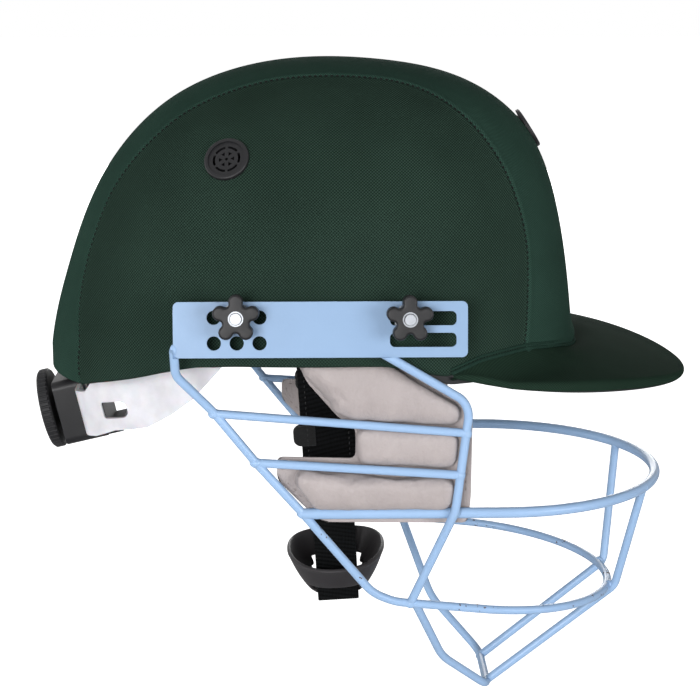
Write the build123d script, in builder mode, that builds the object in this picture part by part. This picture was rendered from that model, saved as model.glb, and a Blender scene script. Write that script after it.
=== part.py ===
"""Cricket helmet with a cloth covered shell, a peak and a bolted steel wire grille.

Lengths are millimetres. +X is forward, +Y is the wearer's left and +Z is up. The origin is the
centre of the head opening, at the height of the rim. Right hand pieces are modelled, and the
left hand ones are their mirror images.
"""

import os
from math import copysign, cos, radians, sin

from build123d import *

os.makedirs("parts", exist_ok=True)

overrun = 20.0

# Dome: the outer face of the cloth, and the layers under it
half_length = 126.0
crown_height = 134.0
half_width = 98.0
side_power = 2.3
profile_shares = (
    (-1, 0), (-0.93, 0.276), (-0.81, 0.565), (-0.547, 0.849), (-0.125, 0.99),
    (0.254, 0.99), (0.579, 0.918), (0.794, 0.765), (0.919, 0.489), (0.992, 0),
)
nape_lean, brow_lean = (0.12, 1), (-0.05, -1)
section_turns = (-72, -54, -36, -18, 0, 18, 36, 54, 72)
foot_share = 0.1
skirt_depth = 40.0
cover_cloth = 1.2
skin_gap = 0.3
shell_wall = 4.0
liner_wall = 9.0
comfort_foam = 5.0

# Rim of the shell, seen from the side
rim_nape_x, rim_nape_z, rim_nape_radius = -112.0, -16.0, 25.0
rim_ear_rear_x, rim_ear_front_x, rim_ear_z, rim_ear_radius = -52.0, 40.0, 6.0, 30.0
rim_brow_x, rim_brow_z, rim_brow_radius = 58.0, -2.0, 15.0
shell_brow_drop = 3.0
liner_rim_rise = 12.0

# Crown strip: the band of cloth from the nape over the top to the peak
seam_gap = 0.5
crown_seam_x = 8.0
rear_seam_shares = (
    (0.6, -0.15), (0.582, 0.075), (0.517, 0.2), (0.48, 0.328), (0.459, 0.455), (0.43, 0.567),
    (0.434, 0.664), (0.436, 0.746), (0.41, 0.835), (0.392, 0.9), (0.375, 0.95), (0.373, 1.1),
)
front_seam_shares = (
    (0.735, -0.15), (0.72, 0.067), (0.679, 0.254), (0.643, 0.384), (0.628, 0.485),
    (0.6, 0.64), (0.53, 0.78), (0.46, 0.86), (0.405, 0.91), (0.375, 0.95), (0.373, 1.1),
)

# Peak
peak_tip_x = 180.0
peak_half_width = 93.0
peak_tip_z = -13.8
peak_rise_share = 0.235
peak_root_arch, peak_front_arch = 270.0, 16000.0
peak_cloth = 0.75
peak_board_wall = 1.8
peak_board_gap = 0.1
peak_edge_bevel = 0.9
peak_root_x = 44.0
peak_root_shares = ((1, 0.93), (1.36, 0.966), (1.7, 0.99))

# Vents: three plastic grommets
side_vent_x, side_vent_z, front_vent_z = -38.3, 93.4, 100.0
vent_radius = 10.2
vent_barrel_radius = 7.8
vent_stand = 1.7
vent_dish_radius, vent_dish_depth = 8.4, 0.9
vent_slot_radius, vent_slot_width, vent_slot_turn = 5.8, 1.1, 40.0
vent_star_radius, vent_star_size, vent_eye_radius = 2.9, 1.15, 0.7
vent_spokes = 6
hole_clearance = 0.3
running_gap = 0.2

# Side plates of the grille
plate_length, plate_height, plate_wall = 128.0, 24.4, 2.0
plate_x, plate_y, plate_z = 2.6, 101.2, 23.0
plate_lean = 8.0
plate_corner = 2.5
hole_radius, hole_pitch, row_pitch = 3.1, 9.9, 11.2
hole_x, row_z = -36.4, 5.4
slot_length, slot_height = 29.0, 6.2
slot_x, slot_z, slot_pitch, slot_corner_share = 44.6, 4.8, 9.4, 0.35

# Fixings of the grille
bolt_radius, bolt_head_radius, bolt_head_wall, bolt_end = 2.4, 7.0, 1.5, 0.8
front_bolt_x = 38.4
spacer_radius = 6.0
washer_radius, washer_wall = 6.5, 1.0
knob_boss_radius, knob_boss_height = 6.0, 2.0
knob_core_radius, knob_lobe_radius, knob_lobe_reach = 6.2, 3.1, 7.3
knob_height, knob_edge, knob_web = 9.0, 1.2, 1.6
knob_lobes = 5
insert_radius, insert_lip = 3.3, 0.4
pocket_clearance = 1.5

# Wire grille
wire_radius, ring_radius = 2.0, 2.5
guard_reach, guard_half_width, guard_drop = 167.5, 81.5, 174.0
upper_ring_z, upper_ring_round_x = -66.3, 86.0
lower_half_width, lower_round_x, lower_side_z, lower_fall_share = 69.0, 77.0, -116.8, 0.093
rear_bar_shares = (
    (-0.3636, 1.205, 0.012), (-0.271, 1.055, -0.0989), (-0.1582, 1.04, -0.2374), (-0.0328, 1, -0.381),
    (0.158, 0.875, -0.62),
)
rear_weld_x, front_weld_x = -61.0, 32.5
front_bar_shares = ((0.415, 1.06, -0.082), (0.378, 1.06, -0.37))
front_elbow, front_knee = 12.0, 18.0
upper_rail_share, middle_rail_share = -0.135, -0.271
lower_joint_x, lower_corner_share = 44.2, 0.6
bar_elbow, bar_turn, bar_bend, bar_sweep = 10.0, 15.0, 40.0, 22.0
nose_top_share, nose_turn_share, nose_foot_share, nose_bend = 0.515, 0.26, 0.21, 8.0
hoop_shares = ((0.3642, 0.53, -0.862), (0.5075, 0.29, -0.9943))
hoop_start_x = 46.5
hoop_bend, hoop_corner = 35.0, 12.0

# Cheek cushions, sewn on a sheet behind the bars
sheet_wall = 1.5
pad_height = 8.2
pad_length, pad_depth = 72.0, 72.0
sheet_shares = (
    (-0.239, -0.56), (0.255, -0.572), (0.255, -0.375), (0.15, -0.31), (-0.05, -0.08),
    (-0.125, 0.09), (0.43, 0.07), (0.9, -0.17), (0.99, -0.3), (0.985, -0.84), (0.967, -1),
    (0.05, -0.99), (-0.07, -0.885), (-0.239, -0.71),
)
upper_pad_shares = (
    (-0.115, 0.093), (0.426, 0.068), (0.888, -0.215), (0.886, -0.3), (0.24, -0.268),
    (0.13, -0.225),
)
middle_pad_shares = ((0.27, -0.374), (0.885, -0.4), (0.872, -0.593), (0.285, -0.575))
lower_pad_shares = ((-0.149, -0.65), (0.861, -0.705), (0.838, -0.87), (0.008, -0.872))
inner_pad_shares = ((0.34, -0.3), (0.93, -0.3), (0.93, -0.94), (0.34, -0.94))
pad_corner, sheet_corner = 3.0, 3.0
pad_form_shares = (
    (0, 0.09, 0.8), (0.3, 0, 1), (0.68, 0.06, 0.9), (0.92, 0.12, 0.5), (1, 0.2, 0.25),
)
pad_short_side = 13.0
inner_pad_height = 11.0

# Chin strap and cup
anchor_x, anchor_z = 3.0, 23.0
anchor_radius, pin_radius, cap_radius, cap_wall = 6.0, 2.5, 4.6, 1.2
anchor_reach = 80.2
strap_tilt = 3.2
webbing_wall, webbing_width, hanger_width = 1.6, 20.0, 25.0
hanger_top, hanger_fall, hanger_bend = 8.5, 9.0, 9.0
hanger_turn_y, hanger_turn = 70.5, 20.4
hanger_end, webbing_top = 71.0, 58.0
strap_foot_y = 20.5
strap_bend = 4.0
tab_height, tab_width, tab_wall, tab_drop, tab_offset = 13.0, 12.0, 1.4, 57.5, 11.0
cup_half_width, cup_wall, cup_bottom, cup_height = 37.0, 2.2, 151.0, 31.0
cup_base_half, cup_end_rise = 18.0, 20.0
cup_side_shares = (
    (-0.49, 0), (0.49, 0), (0.8, 0.36), (1, 0.72), (0.9, 1), (-0.9, 1), (-1, 0.78), (-0.78, 0.36),
)
cup_half_length, cup_round, cup_side_round = 23.5, 12.0, 4.0
cup_arch_rise = 6.0
cup_notch_half, cup_notch_depth = 13.0, 9.0
cup_slot_start, cup_slot_end = 17.0, 29.0

# Rear adjuster
dial_x, dial_z, dial_tilt = -130.9, -36.8, 13.0
dial_radius, dial_wall, dial_edge, dial_hub_radius, dial_hub = 19.5, 5.5, 1.0, 8.0, 8.1
dial_ribs, dial_rib_radius, dial_dish_radius, dial_dish = 48, 0.6, 15.0, 1.2
fit_gap = 0.05
housing_half_width, housing_low, housing_high, housing_corner = 20.0, -16.0, 15.5, 4.0
cover_start, cover_wall, rack_depth, housing_end = 8.4, 2.2, 10.0, 30.0
rack_gap = 0.2
rack_low, rack_high = -9.5, 12.5
arm_wall, arm_travel = 2.0, 5.0
tail_reach = 15.0
rack_slot_half, rack_slot_length, rack_slot_shift = 6.4, 23.0, 2.5
rack_teeth, rack_pitch, rack_tooth = 8, 2.6, 1.1
pinion_teeth, pinion_root, pinion_outer, shaft_radius = 10, 3.6, 4.8, 2.5
arm_span = 100.0
arm_path_shares = ((0.4, 0.53), (0.7, 0.68), (1, 0.78))
arm_corner_y, arm_bend, arm_sweep = 34.0, 13.0, 70.0
arm_outline_shares = (
    (0.27, -0.095), (0.376, -0.065), (0.538, -0.063), (0.661, -0.019), (0.789, 0.043),
    (0.937, 0.153), (1.02, 0.22), (1.02, 0.3), (0.92, 0.3), (0.579, 0.246), (0.32, 0.176),
    (0.27, 0.125),
)
window_x, window_z, window_length, window_height, window_corner = 40.2, 3.3, 12.6, 8.0, 1.4
ledge_reach, ledge_wall, ledge_half_width = 36.0, 4.0, 16.0
tongue_half_width, tongue_wall, tongue_top, tongue_low, tongue_rivet_z = 8.0, 2.0, 6.0, -20.6, -5.0
rivet_radius, rivet_head_radius, rivet_head = 1.6, 3.4, 1.0

# Inner foam
brow_pad_low, brow_pad_high, brow_pad_rear = 12.0, 44.0, 66.0
rear_pad_low, rear_pad_high, rear_pad_front = 24.0, 60.0, -66.0
crown_pad_length, crown_pad_width, crown_pad_x = 110.0, 64.0, 0.0


def dome(inset):
    """Solid of the head shape, inset from the outer face of the cloth, with a straight skirt."""
    width = half_width - inset
    with BuildPart() as body:
        sections = []
        for turn in section_turns:
            y = width * copysign(abs(sin(radians(turn))) ** (2 / side_power), turn)
            size = cos(radians(turn)) ** (2 / side_power)
            length, height = size * (half_length - inset), size * (crown_height - inset)
            with BuildSketch(Plane.XZ.offset(-y)) as section:
                with BuildLine():
                    outline = [(u * length, v * height) for u, v in profile_shares]
                    Spline(*outline, tangents=(nape_lean, brow_lean))
                    foot = -foot_share * height
                    Polyline(outline[-1], (outline[-1][0], foot), (outline[0][0], foot), outline[0])
                make_face()
            sections.append(section.sketch.face())
        loft([Vertex(0, -width, 0), *sections, Vertex(0, width, 0)])
        split(bisect_by=Plane.XY)
        extrude(body.faces().filter_by(GeomType.PLANE).sort_by(Axis.Z)[0], skirt_depth,
                dir=(0, 0, -1))
    return body.part


def above_rim(rise, brow_drop=0.0):
    """Everything above the rim of the shell, raised by rise."""
    reach = half_length + overrun
    with BuildPart() as region:
        with BuildSketch(Plane.XZ):
            with BuildLine():
                rim = FilletPolyline(
                    (-reach, rim_nape_z + rise), (rim_nape_x, rim_nape_z + rise),
                    (rim_ear_rear_x, rim_ear_z + rise), (rim_ear_front_x, rim_ear_z + rise),
                    (rim_brow_x, rim_brow_z + rise - brow_drop),
                    (reach, rim_brow_z + rise - brow_drop),
                    radius=(rim_nape_radius, rim_ear_radius, rim_brow_radius, rim_brow_radius),
                )
                top = crown_height + overrun
                Polyline(rim @ 1, (reach, top), (-reach, top), rim @ 0)
            make_face()
        extrude(amount=half_width + overrun, both=True)
    return region.part


def mirrored(right):
    """Left hand copy of a right hand piece."""
    with BuildPart() as left:
        mirror(right, about=Plane.XZ)
    return left.part


def finish(part, label):
    """Label a finished piece and write it."""
    part.label = label
    export_step(part, f"parts/{label}.step")


cloth_clear = dome(-skin_gap)
cloth_outer = dome(0)
cloth_inner = dome(cover_cloth)
shell_outer_inset = cover_cloth + skin_gap
shell_outer = dome(shell_outer_inset)
shell_inner_inset = shell_outer_inset + shell_wall
shell_inner = dome(shell_inner_inset)
liner_outer = dome(shell_inner_inset + skin_gap)
liner_inner_inset = shell_inner_inset + skin_gap + liner_wall
liner_inner = dome(liner_inner_inset)
foam_outer = dome(liner_inner_inset + skin_gap)
foam_inner = dome(liner_inner_inset + skin_gap + comfort_foam)

# Places on the dome, read from its outer face
reach = half_length + overrun
vent_point, vent_normal = cloth_outer.find_intersection_points(
    Axis((side_vent_x, -reach, side_vent_z), (0, 1, 0)))[0]
front_point, front_normal = cloth_outer.find_intersection_points(
    Axis((reach, 0, front_vent_z), (-1, 0, 0)))[0]
side_vent_plane = Plane(vent_point, x_dir=(1, 0, 0), z_dir=vent_normal)
front_vent_plane = Plane(front_point, x_dir=(0, 1, 0), z_dir=front_normal)
vent_planes = (
    side_vent_plane,
    Plane((vent_point.X, -vent_point.Y, vent_point.Z), x_dir=(1, 0, 0),
          z_dir=(vent_normal.X, -vent_normal.Y, vent_normal.Z)),
    front_vent_plane,
)

# Side plate frame: x along the plate, y up it, z out of it, with its origin in mid plate
lean_out, lean_up = cos(radians(plate_lean)), sin(radians(plate_lean))
plate_plane = Plane((plate_x, -plate_y, plate_z), x_dir=(1, 0, 0), z_dir=(0, -lean_out, lean_up))
bolt_places = ((hole_x, row_z), (front_bolt_x, slot_z))


def on_plate(x, y, out=0.0):
    """Plane parallel to the right side plate, at a place on it."""
    return Plane(plate_plane.from_local_coords((x, y, out)), x_dir=plate_plane.x_dir,
                 z_dir=plate_plane.z_dir)


def mirrored_plane(plane):
    """The same plane on the wearer's left."""
    origin, x_dir, z_dir = plane.origin, plane.x_dir, plane.z_dir
    return Plane((origin.X, -origin.Y, origin.Z), x_dir=(x_dir.X, -x_dir.Y, x_dir.Z),
                 z_dir=(z_dir.X, -z_dir.Y, z_dir.Z))


bolt_planes = [on_plate(x, y) for x, y in bolt_places]
bolt_planes += [mirrored_plane(plane) for plane in bolt_planes]


def drilled(planes, radius):
    """Round bars along the Z of each plane, both ways, to cut holes with."""
    with BuildPart() as bars:
        for plane in planes:
            with BuildSketch(plane):
                Circle(radius)
            extrude(amount=half_width / 2, both=True)
    return bars.part


vent_bars = drilled(vent_planes, vent_barrel_radius + hole_clearance)
bolt_bars = drilled(bolt_planes, bolt_radius + hole_clearance)
strap_anchor_plane = Plane((anchor_x, -anchor_reach, anchor_z), x_dir=(1, 0, 0), z_dir=(0, -1, 0))
anchor_planes = [strap_anchor_plane, mirrored_plane(strap_anchor_plane)]

rivet_plane = Plane((shell_outer_inset - half_length, 0, tongue_rivet_z), x_dir=(0, 1, 0),
                    z_dir=(1, 0, 0))
shell_region, cover_region = above_rim(0, shell_brow_drop), above_rim(0)
liner_region = above_rim(liner_rim_rise)

# Shell
with BuildPart() as shell:
    add(shell_outer)
    add(shell_inner, mode=Mode.SUBTRACT)
    add(shell_region, mode=Mode.INTERSECT)
    add(vent_bars, mode=Mode.SUBTRACT)
    add(bolt_bars, mode=Mode.SUBTRACT)
    with BuildSketch(rivet_plane):
        Circle(rivet_radius + fit_gap)
    extrude(amount=half_length / 2, mode=Mode.SUBTRACT)
finish(shell.part, "shell")

# Cloth cover, cut into the crown strip and two sides
with BuildPart() as cover:
    add(cloth_outer)
    add(cloth_inner, mode=Mode.SUBTRACT)
    add(cover_region, mode=Mode.INTERSECT)
    add(vent_bars, mode=Mode.SUBTRACT)
    add(bolt_bars, mode=Mode.SUBTRACT)


def strip_region(widening):
    """Everything between the two seams of the crown strip, widened on each side."""
    with BuildPart() as region:
        for shares, x_start, way in (
            (rear_seam_shares, crown_seam_x, -1), (front_seam_shares, crown_seam_x, 1),
        ):
            with BuildSketch(Plane.YZ.offset(x_start)):
                with BuildLine():
                    seam = [(u * half_width + widening, v * crown_height) for u, v in shares]
                    Spline(*seam)
                    Polyline(seam[-1], (0, seam[-1][1]), (0, seam[0][1]), seam[0])
                make_face()
                mirror(about=Plane.YZ)
            extrude(amount=way * (half_length + overrun))
    return region.part


def peak_slab(top_drop, wall, inset=0.0):
    """Sheet of the peak, arched at its root and flatter to the front, drawn in by inset."""
    side = peak_half_width - inset
    with BuildPart() as slab:
        for x, arch in ((peak_root_x, peak_root_arch), (peak_tip_x + overrun, peak_front_arch)):
            middle = peak_tip_z + peak_rise_share * (peak_tip_x - x) - top_drop
            fall = half_length ** 2 / (2 * arch)
            arc = [(-half_length, middle - fall), (0, middle), (half_length, middle - fall)]
            with BuildSketch(Plane.YZ.offset(x)):
                with BuildLine():
                    top = ThreePointArc(*arc)
                    base = ThreePointArc(*[(y, z - wall) for y, z in arc])
                    Line(top @ 0, base @ 0)
                    Line(top @ 1, base @ 1)
                make_face()
        loft(ruled=True)
        with BuildSketch(Plane.XY.offset(-crown_height)):
            with BuildLine():
                root = [(u * peak_root_x, v * side) for u, v in peak_root_shares]
                round_x = peak_tip_x - peak_half_width
                edge = Polyline(*root, (round_x, side))
                RadiusArc(edge @ 1, (round_x, -side), side)
                Polyline((round_x, -side), *[(x, -y) for x, y in reversed(root)], root[0])
            make_face()
        extrude(amount=2 * crown_height, mode=Mode.INTERSECT)
    return slab.part


peak_wall = 2 * (peak_cloth + peak_board_gap) + peak_board_wall
peak_clear = peak_slab(-skin_gap, crown_height / 2, -skin_gap)
board_slab = peak_slab(peak_cloth + peak_board_gap, peak_board_wall, peak_cloth + peak_board_gap)
sleeve_slab = peak_slab(0, peak_wall)
sleeve_pocket = peak_slab(peak_cloth, peak_board_wall + 2 * peak_board_gap, peak_cloth)
strip_inside, strip_outside = strip_region(-seam_gap / 2), strip_region(seam_gap / 2)

with BuildPart() as crown_cover:
    add(cover.part)
    add(strip_inside, mode=Mode.INTERSECT)
    add(peak_clear, mode=Mode.SUBTRACT)
finish(crown_cover.part, "crown_cover")

with BuildPart() as side_cover_right:
    add(cover.part)
    add(strip_outside, mode=Mode.SUBTRACT)
    add(peak_clear, mode=Mode.SUBTRACT)
    split(bisect_by=Plane.XZ, keep=Keep.TOP)
finish(side_cover_right.part, "side_cover_right")
finish(mirrored(side_cover_right.part), "side_cover_left")

# Peak: a stiff board bonded to the front of the shell, in a cloth sleeve
with BuildPart() as peak_board:
    add(board_slab)
    add(shell_outer, mode=Mode.SUBTRACT)
finish(peak_board.part, "peak_board")

with BuildPart() as peak_cover:
    add(sleeve_slab)
    chamfer(peak_cover.edges().filter_by(GeomType.LINE, reverse=True).group_by(Axis.X)[-1],
            peak_edge_bevel)
    add(cloth_clear, mode=Mode.SUBTRACT)
    add(sleeve_pocket, mode=Mode.SUBTRACT)
finish(peak_cover.part, "peak_cover")

# Impact liner and comfort foam
liner_pockets = (
    drilled(vent_planes, vent_barrel_radius + pocket_clearance),
    drilled(bolt_planes, bolt_head_radius + pocket_clearance),
    drilled(anchor_planes, anchor_radius + pocket_clearance),
)
with BuildPart() as impact_liner:
    add(liner_outer)
    add(liner_inner, mode=Mode.SUBTRACT)
    add(liner_region, mode=Mode.INTERSECT)
    for pocket in liner_pockets:
        add(pocket, mode=Mode.SUBTRACT)
    with BuildSketch(Plane.YZ.offset(-half_length)):
        Rectangle(2 * (tongue_half_width + pocket_clearance), 2 * (tongue_top + pocket_clearance))
    extrude(amount=half_length / 2, mode=Mode.SUBTRACT)
finish(impact_liner.part, "impact_liner")

with BuildPart() as foam:
    add(foam_outer)
    add(foam_inner, mode=Mode.SUBTRACT)

with BuildPart() as brow_pad:
    add(foam.part)
    with BuildSketch(Plane.XZ):
        with BuildLine():
            Polyline((brow_pad_rear, brow_pad_low), (half_length, brow_pad_low),
                     (half_length, brow_pad_high), (brow_pad_rear, brow_pad_high), close=True)
        make_face()
        fillet(vertices().group_by(Axis.X)[0], comfort_foam)
    extrude(amount=half_width, both=True, mode=Mode.INTERSECT)
finish(brow_pad.part, "brow_pad")

with BuildPart() as rear_pad:
    add(foam.part)
    with BuildSketch(Plane.XZ):
        with BuildLine():
            Polyline((rear_pad_front, rear_pad_low), (-half_length, rear_pad_low),
                     (-half_length, rear_pad_high), (rear_pad_front, rear_pad_high), close=True)
        make_face()
        fillet(vertices().group_by(Axis.X)[-1], comfort_foam)
    extrude(amount=half_width, both=True, mode=Mode.INTERSECT)
finish(rear_pad.part, "rear_pad")

with BuildPart() as crown_pad:
    add(foam.part)
    with BuildSketch(Plane.XY):
        with Locations((crown_pad_x, 0)):
            SlotOverall(crown_pad_length, crown_pad_width)
    extrude(amount=crown_height, mode=Mode.INTERSECT)
finish(crown_pad.part, "crown_pad")


def vent(plane):
    """Grommet with a dished grid: six outer slots, a star of six triangles and an eye."""
    barrel_end = vent_stand - (cover_cloth + skin_gap + shell_wall)
    turn = vent_slot_turn / 2
    slot_line = CenterArc((0, 0), vent_slot_radius, -turn, 2 * turn, mode=Mode.PRIVATE)
    with BuildPart() as grommet:
        with BuildSketch(plane):
            Circle(vent_radius)
        extrude(amount=vent_stand)
        fillet(grommet.edges().filter_by(GeomType.CIRCLE).sort_by(
            lambda edge: plane.to_local_coords(edge.arc_center).Z)[-1], vent_stand / 2)
        with BuildSketch(plane.offset(barrel_end - vent_stand)):
            Circle(vent_barrel_radius)
        extrude(amount=vent_stand - barrel_end)
        with BuildSketch(plane.offset(vent_stand)):
            Circle(vent_dish_radius)
        extrude(amount=-vent_dish_depth, mode=Mode.SUBTRACT)
        with BuildSketch(plane.offset(vent_stand)):
            with PolarLocations(0, vent_spokes):
                SlotArc(slot_line, vent_slot_width)
            with PolarLocations(vent_star_radius, vent_spokes):
                RegularPolygon(vent_star_size, 3, rotation=180)
            Circle(vent_eye_radius)
        extrude(amount=-overrun, mode=Mode.SUBTRACT)
    return grommet.part


side_vent = vent(side_vent_plane)
finish(side_vent, "side_vent_right")
finish(mirrored(side_vent), "side_vent_left")
finish(vent(front_vent_plane), "front_vent")

# Side plates
with BuildPart() as side_plate:
    with BuildSketch(plate_plane.offset(-plate_wall / 2)):
        RectangleRounded(plate_length, plate_height, plate_corner)
        for row in (0, 1):
            for column in (-1, 0, 1):
                with Locations((hole_x + column * hole_pitch, row_z - row * row_pitch)):
                    Circle(hole_radius, mode=Mode.SUBTRACT)
            with Locations((slot_x, slot_z - row * slot_pitch)):
                RectangleRounded(slot_length, slot_height, slot_corner_share * slot_height,
                                 mode=Mode.SUBTRACT)
    extrude(amount=plate_wall)
finish(side_plate.part, "side_plate_right")
finish(mirrored(side_plate.part), "side_plate_left")

# Bolts, spacers and washers, four of each in one node
bolt_depths = []
for plane in bolt_planes:
    wall_point = shell_inner.find_intersection_points(Axis(plane.origin, -plane.z_dir))[0][0]
    bolt_depths.append((wall_point - plane.origin).length)
plate_face = plate_wall / 2
knob_seat = plate_face + washer_wall + running_gap
knob_top = knob_seat + knob_boss_height + knob_height

with BuildPart() as guard_bolts:
    for plane, depth in zip(bolt_planes, bolt_depths):
        with BuildSketch(plane.offset(-depth - bolt_head_wall)):
            Circle(bolt_head_radius)
        extrude(amount=overrun)
    add(liner_outer, mode=Mode.INTERSECT)
    for plane, depth in zip(bolt_planes, bolt_depths):
        with BuildSketch(plane.offset(knob_top + bolt_end)):
            Circle(bolt_radius)
        extrude(amount=-(knob_top + bolt_end + depth + bolt_head_wall / 2))
finish(guard_bolts.part, "guard_bolts")

with BuildPart() as guard_spacers:
    for plane in bolt_planes:
        with BuildSketch(plane.offset(-plate_face)):
            Circle(spacer_radius)
            Circle(bolt_radius + hole_clearance, mode=Mode.SUBTRACT)
        extrude(amount=-overrun)
    add(cloth_clear, mode=Mode.SUBTRACT)
finish(guard_spacers.part, "guard_spacers")

with BuildPart() as guard_washers:
    for plane in bolt_planes:
        with BuildSketch(plane.offset(plate_face)):
            Circle(washer_radius)
            Circle(bolt_radius + hole_clearance, mode=Mode.SUBTRACT)
        extrude(amount=washer_wall)
finish(guard_washers.part, "guard_washers")


def star_knob(plane):
    """Five lobed hand knob, seated on its washer, with a bore for its threaded insert."""
    with BuildPart() as knob:
        with BuildSketch(plane.offset(knob_seat)):
            Circle(knob_boss_radius)
        extrude(amount=knob_boss_height)
        with BuildSketch(plane.offset(knob_seat + knob_boss_height)):
            Circle(knob_core_radius)
            with PolarLocations(knob_lobe_reach, knob_lobes, start_angle=90):
                Circle(knob_lobe_radius)
            offset(amount=knob_web)
            offset(amount=-knob_web)
        extrude(amount=knob_height)
        crown = knob.faces().sort_by(lambda face: plane.to_local_coords(face.center()).Z)[-1]
        fillet(crown.edges(), knob_edge)
        with BuildSketch(plane.offset(knob_seat)):
            Circle(insert_radius)
        extrude(amount=knob_boss_height + knob_height + overrun, mode=Mode.SUBTRACT)
    return knob.part


def knob_insert(plane):
    """Threaded metal insert of a star knob."""
    with BuildPart() as insert:
        with BuildSketch(plane.offset(knob_seat)):
            Circle(insert_radius)
            Circle(bolt_radius + hole_clearance, mode=Mode.SUBTRACT)
        extrude(amount=knob_boss_height + knob_height - insert_lip)
    return insert.part


for place, plane in (("rear", bolt_planes[0]), ("front", bolt_planes[1])):
    knob, insert = star_knob(plane), knob_insert(plane)
    finish(knob, f"knob_{place}_right")
    finish(insert, f"knob_insert_{place}_right")
    finish(mirrored(knob), f"knob_{place}_left")
    finish(mirrored(insert), f"knob_insert_{place}_left")


# Wire grille: bars are swept along runs and tangent arcs and coped where they are welded
def guard_points(shares):
    """Points on the wearer's left, from shares of the guard's reach, half width and drop."""
    return [Vector(u * guard_reach, v * guard_half_width, w * guard_drop) for u, v, w in shares]


def flipped(points):
    """The same points on the wearer's right."""
    return [Vector(point.X, -point.Y, point.Z) for point in points]


weld_plane = on_plate(0, -plate_height / 2)
weld_normal = plate_plane.y_dir
weld_planes = [Plane(weld_plane.origin, x_dir=plate_plane.x_dir, z_dir=weld_normal)]
weld_planes.append(mirrored_plane(weld_planes[0]))


def weld_start(x, towards):
    """Point above the lower edge of the left plate, past it by a wire, on the way of a run."""
    edge = mirrored_plane(on_plate(x - plate_x, -plate_height / 2)).origin
    return edge + (edge - towards).normalized() * 2 * wire_radius


def swept(route, radius):
    """Round bar of a radius along a route."""
    with BuildPart() as bar:
        with BuildLine() as line:
            add(route)
        with BuildSketch(Plane(line.wire() @ 0, z_dir=line.wire() % 0)):
            Circle(radius)
        sweep()
    return bar.part


rear_points = guard_points(rear_bar_shares)
rear_points.insert(0, weld_start(rear_weld_x, rear_points[0]))
upper_joint, middle_joint, ring_joint = rear_points[2:5]
lower_round = Vector(lower_round_x, lower_half_width, lower_side_z)
lower_tip_x = lower_round_x + lower_half_width
lower_corner_x = rear_points[-1].X + lower_corner_share * (lower_joint_x - rear_points[-1].X)
lower_corner = Vector(lower_corner_x, lower_half_width,
                      lower_side_z + lower_fall_share * (lower_round_x - lower_corner_x))
lower_points = rear_points + [lower_corner, lower_round]
lower_radii = (bar_elbow, bar_turn, bar_bend, bar_bend, bar_sweep, bar_sweep)
lower_tip = Vector(lower_tip_x, 0, lower_side_z - lower_fall_share * lower_half_width)

with BuildPart() as lower_ring:
    with BuildLine() as route:
        left = FilletPolyline(*lower_points, radius=lower_radii)
        ThreePointArc(lower_round, lower_tip, flipped([lower_round])[0])
        FilletPolyline(*flipped(lower_points), radius=lower_radii)
    with BuildSketch(Plane(left @ 0, z_dir=left % 0)):
        Circle(wire_radius)
    sweep()
    for plane in weld_planes:
        with BuildSketch(plane):
            Rectangle(plate_length, plate_wall + 4 * wire_radius)
        extrude(amount=4 * wire_radius, mode=Mode.SUBTRACT)
finish(lower_ring.part, "lower_ring")

upper_ring_start = Vector(ring_joint.X, guard_half_width, ring_joint.Z)
upper_ring_side = Vector(upper_ring_round_x, guard_half_width, upper_ring_z)
upper_ring_tip = Vector(upper_ring_round_x + guard_half_width, 0, upper_ring_z)
with BuildPart() as upper_ring:
    with BuildLine() as route:
        left = Line(upper_ring_start, upper_ring_side)
        ThreePointArc(upper_ring_side, upper_ring_tip, flipped([upper_ring_side])[0])
        Line(*flipped([upper_ring_side, upper_ring_start]))
    with BuildSketch(Plane(left @ 0, z_dir=left % 0)):
        Circle(ring_radius)
    sweep()
    add(lower_ring.part, mode=Mode.SUBTRACT)
finish(upper_ring.part.solids().sort_by(SortBy.VOLUME)[-1], "upper_ring")


def coped(route, radius, *others):
    """Bar along a route, cut where it meets other bars."""
    whole = swept(route, radius)
    with BuildPart() as bar:
        add(whole)
        for other in others:
            add(other, mode=Mode.SUBTRACT)
    return bar.part.solids().sort_by(SortBy.VOLUME)[-1]


def lower_point(x):
    """Point on the straight left side of the lower ring."""
    return Vector(x, lower_half_width, lower_side_z + lower_fall_share * (lower_round_x - x))


def at_height(start, end, z):
    """Point at height z on the straight run from start to end."""
    return start + (end - start) * ((z - start.Z) / (end.Z - start.Z))


front_elbow_point, front_knee_point = guard_points(front_bar_shares)
front_points = [weld_start(front_weld_x, front_elbow_point), front_elbow_point, front_knee_point,
                lower_point(lower_joint_x)]
upper_rail_end = at_height(front_elbow_point, front_knee_point, upper_rail_share * guard_drop)
middle_rail_end = at_height(front_elbow_point, front_knee_point, middle_rail_share * guard_drop)

front_route = FilletPolyline(*flipped(front_points), radius=(front_elbow, front_knee))
front_whole = swept(front_route, wire_radius)
with BuildPart() as front_bar:
    add(front_whole)
    split(bisect_by=weld_planes[0], keep=Keep.BOTTOM)
    add(lower_ring.part, mode=Mode.SUBTRACT)
    add(upper_ring.part, mode=Mode.SUBTRACT)
front_bar_right = front_bar.part.solids().sort_by(SortBy.VOLUME)[-1]
finish(front_bar_right, "front_bar_right")
finish(mirrored(front_bar_right), "front_bar_left")

for label, ends in (
    ("upper_rail", (upper_joint, upper_rail_end)), ("middle_rail", (middle_joint, middle_rail_end)),
):
    rail = coped(Line(*flipped(ends)), wire_radius, lower_ring.part, front_bar_right)
    finish(rail, f"{label}_right")
    finish(mirrored(rail), f"{label}_left")

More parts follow.
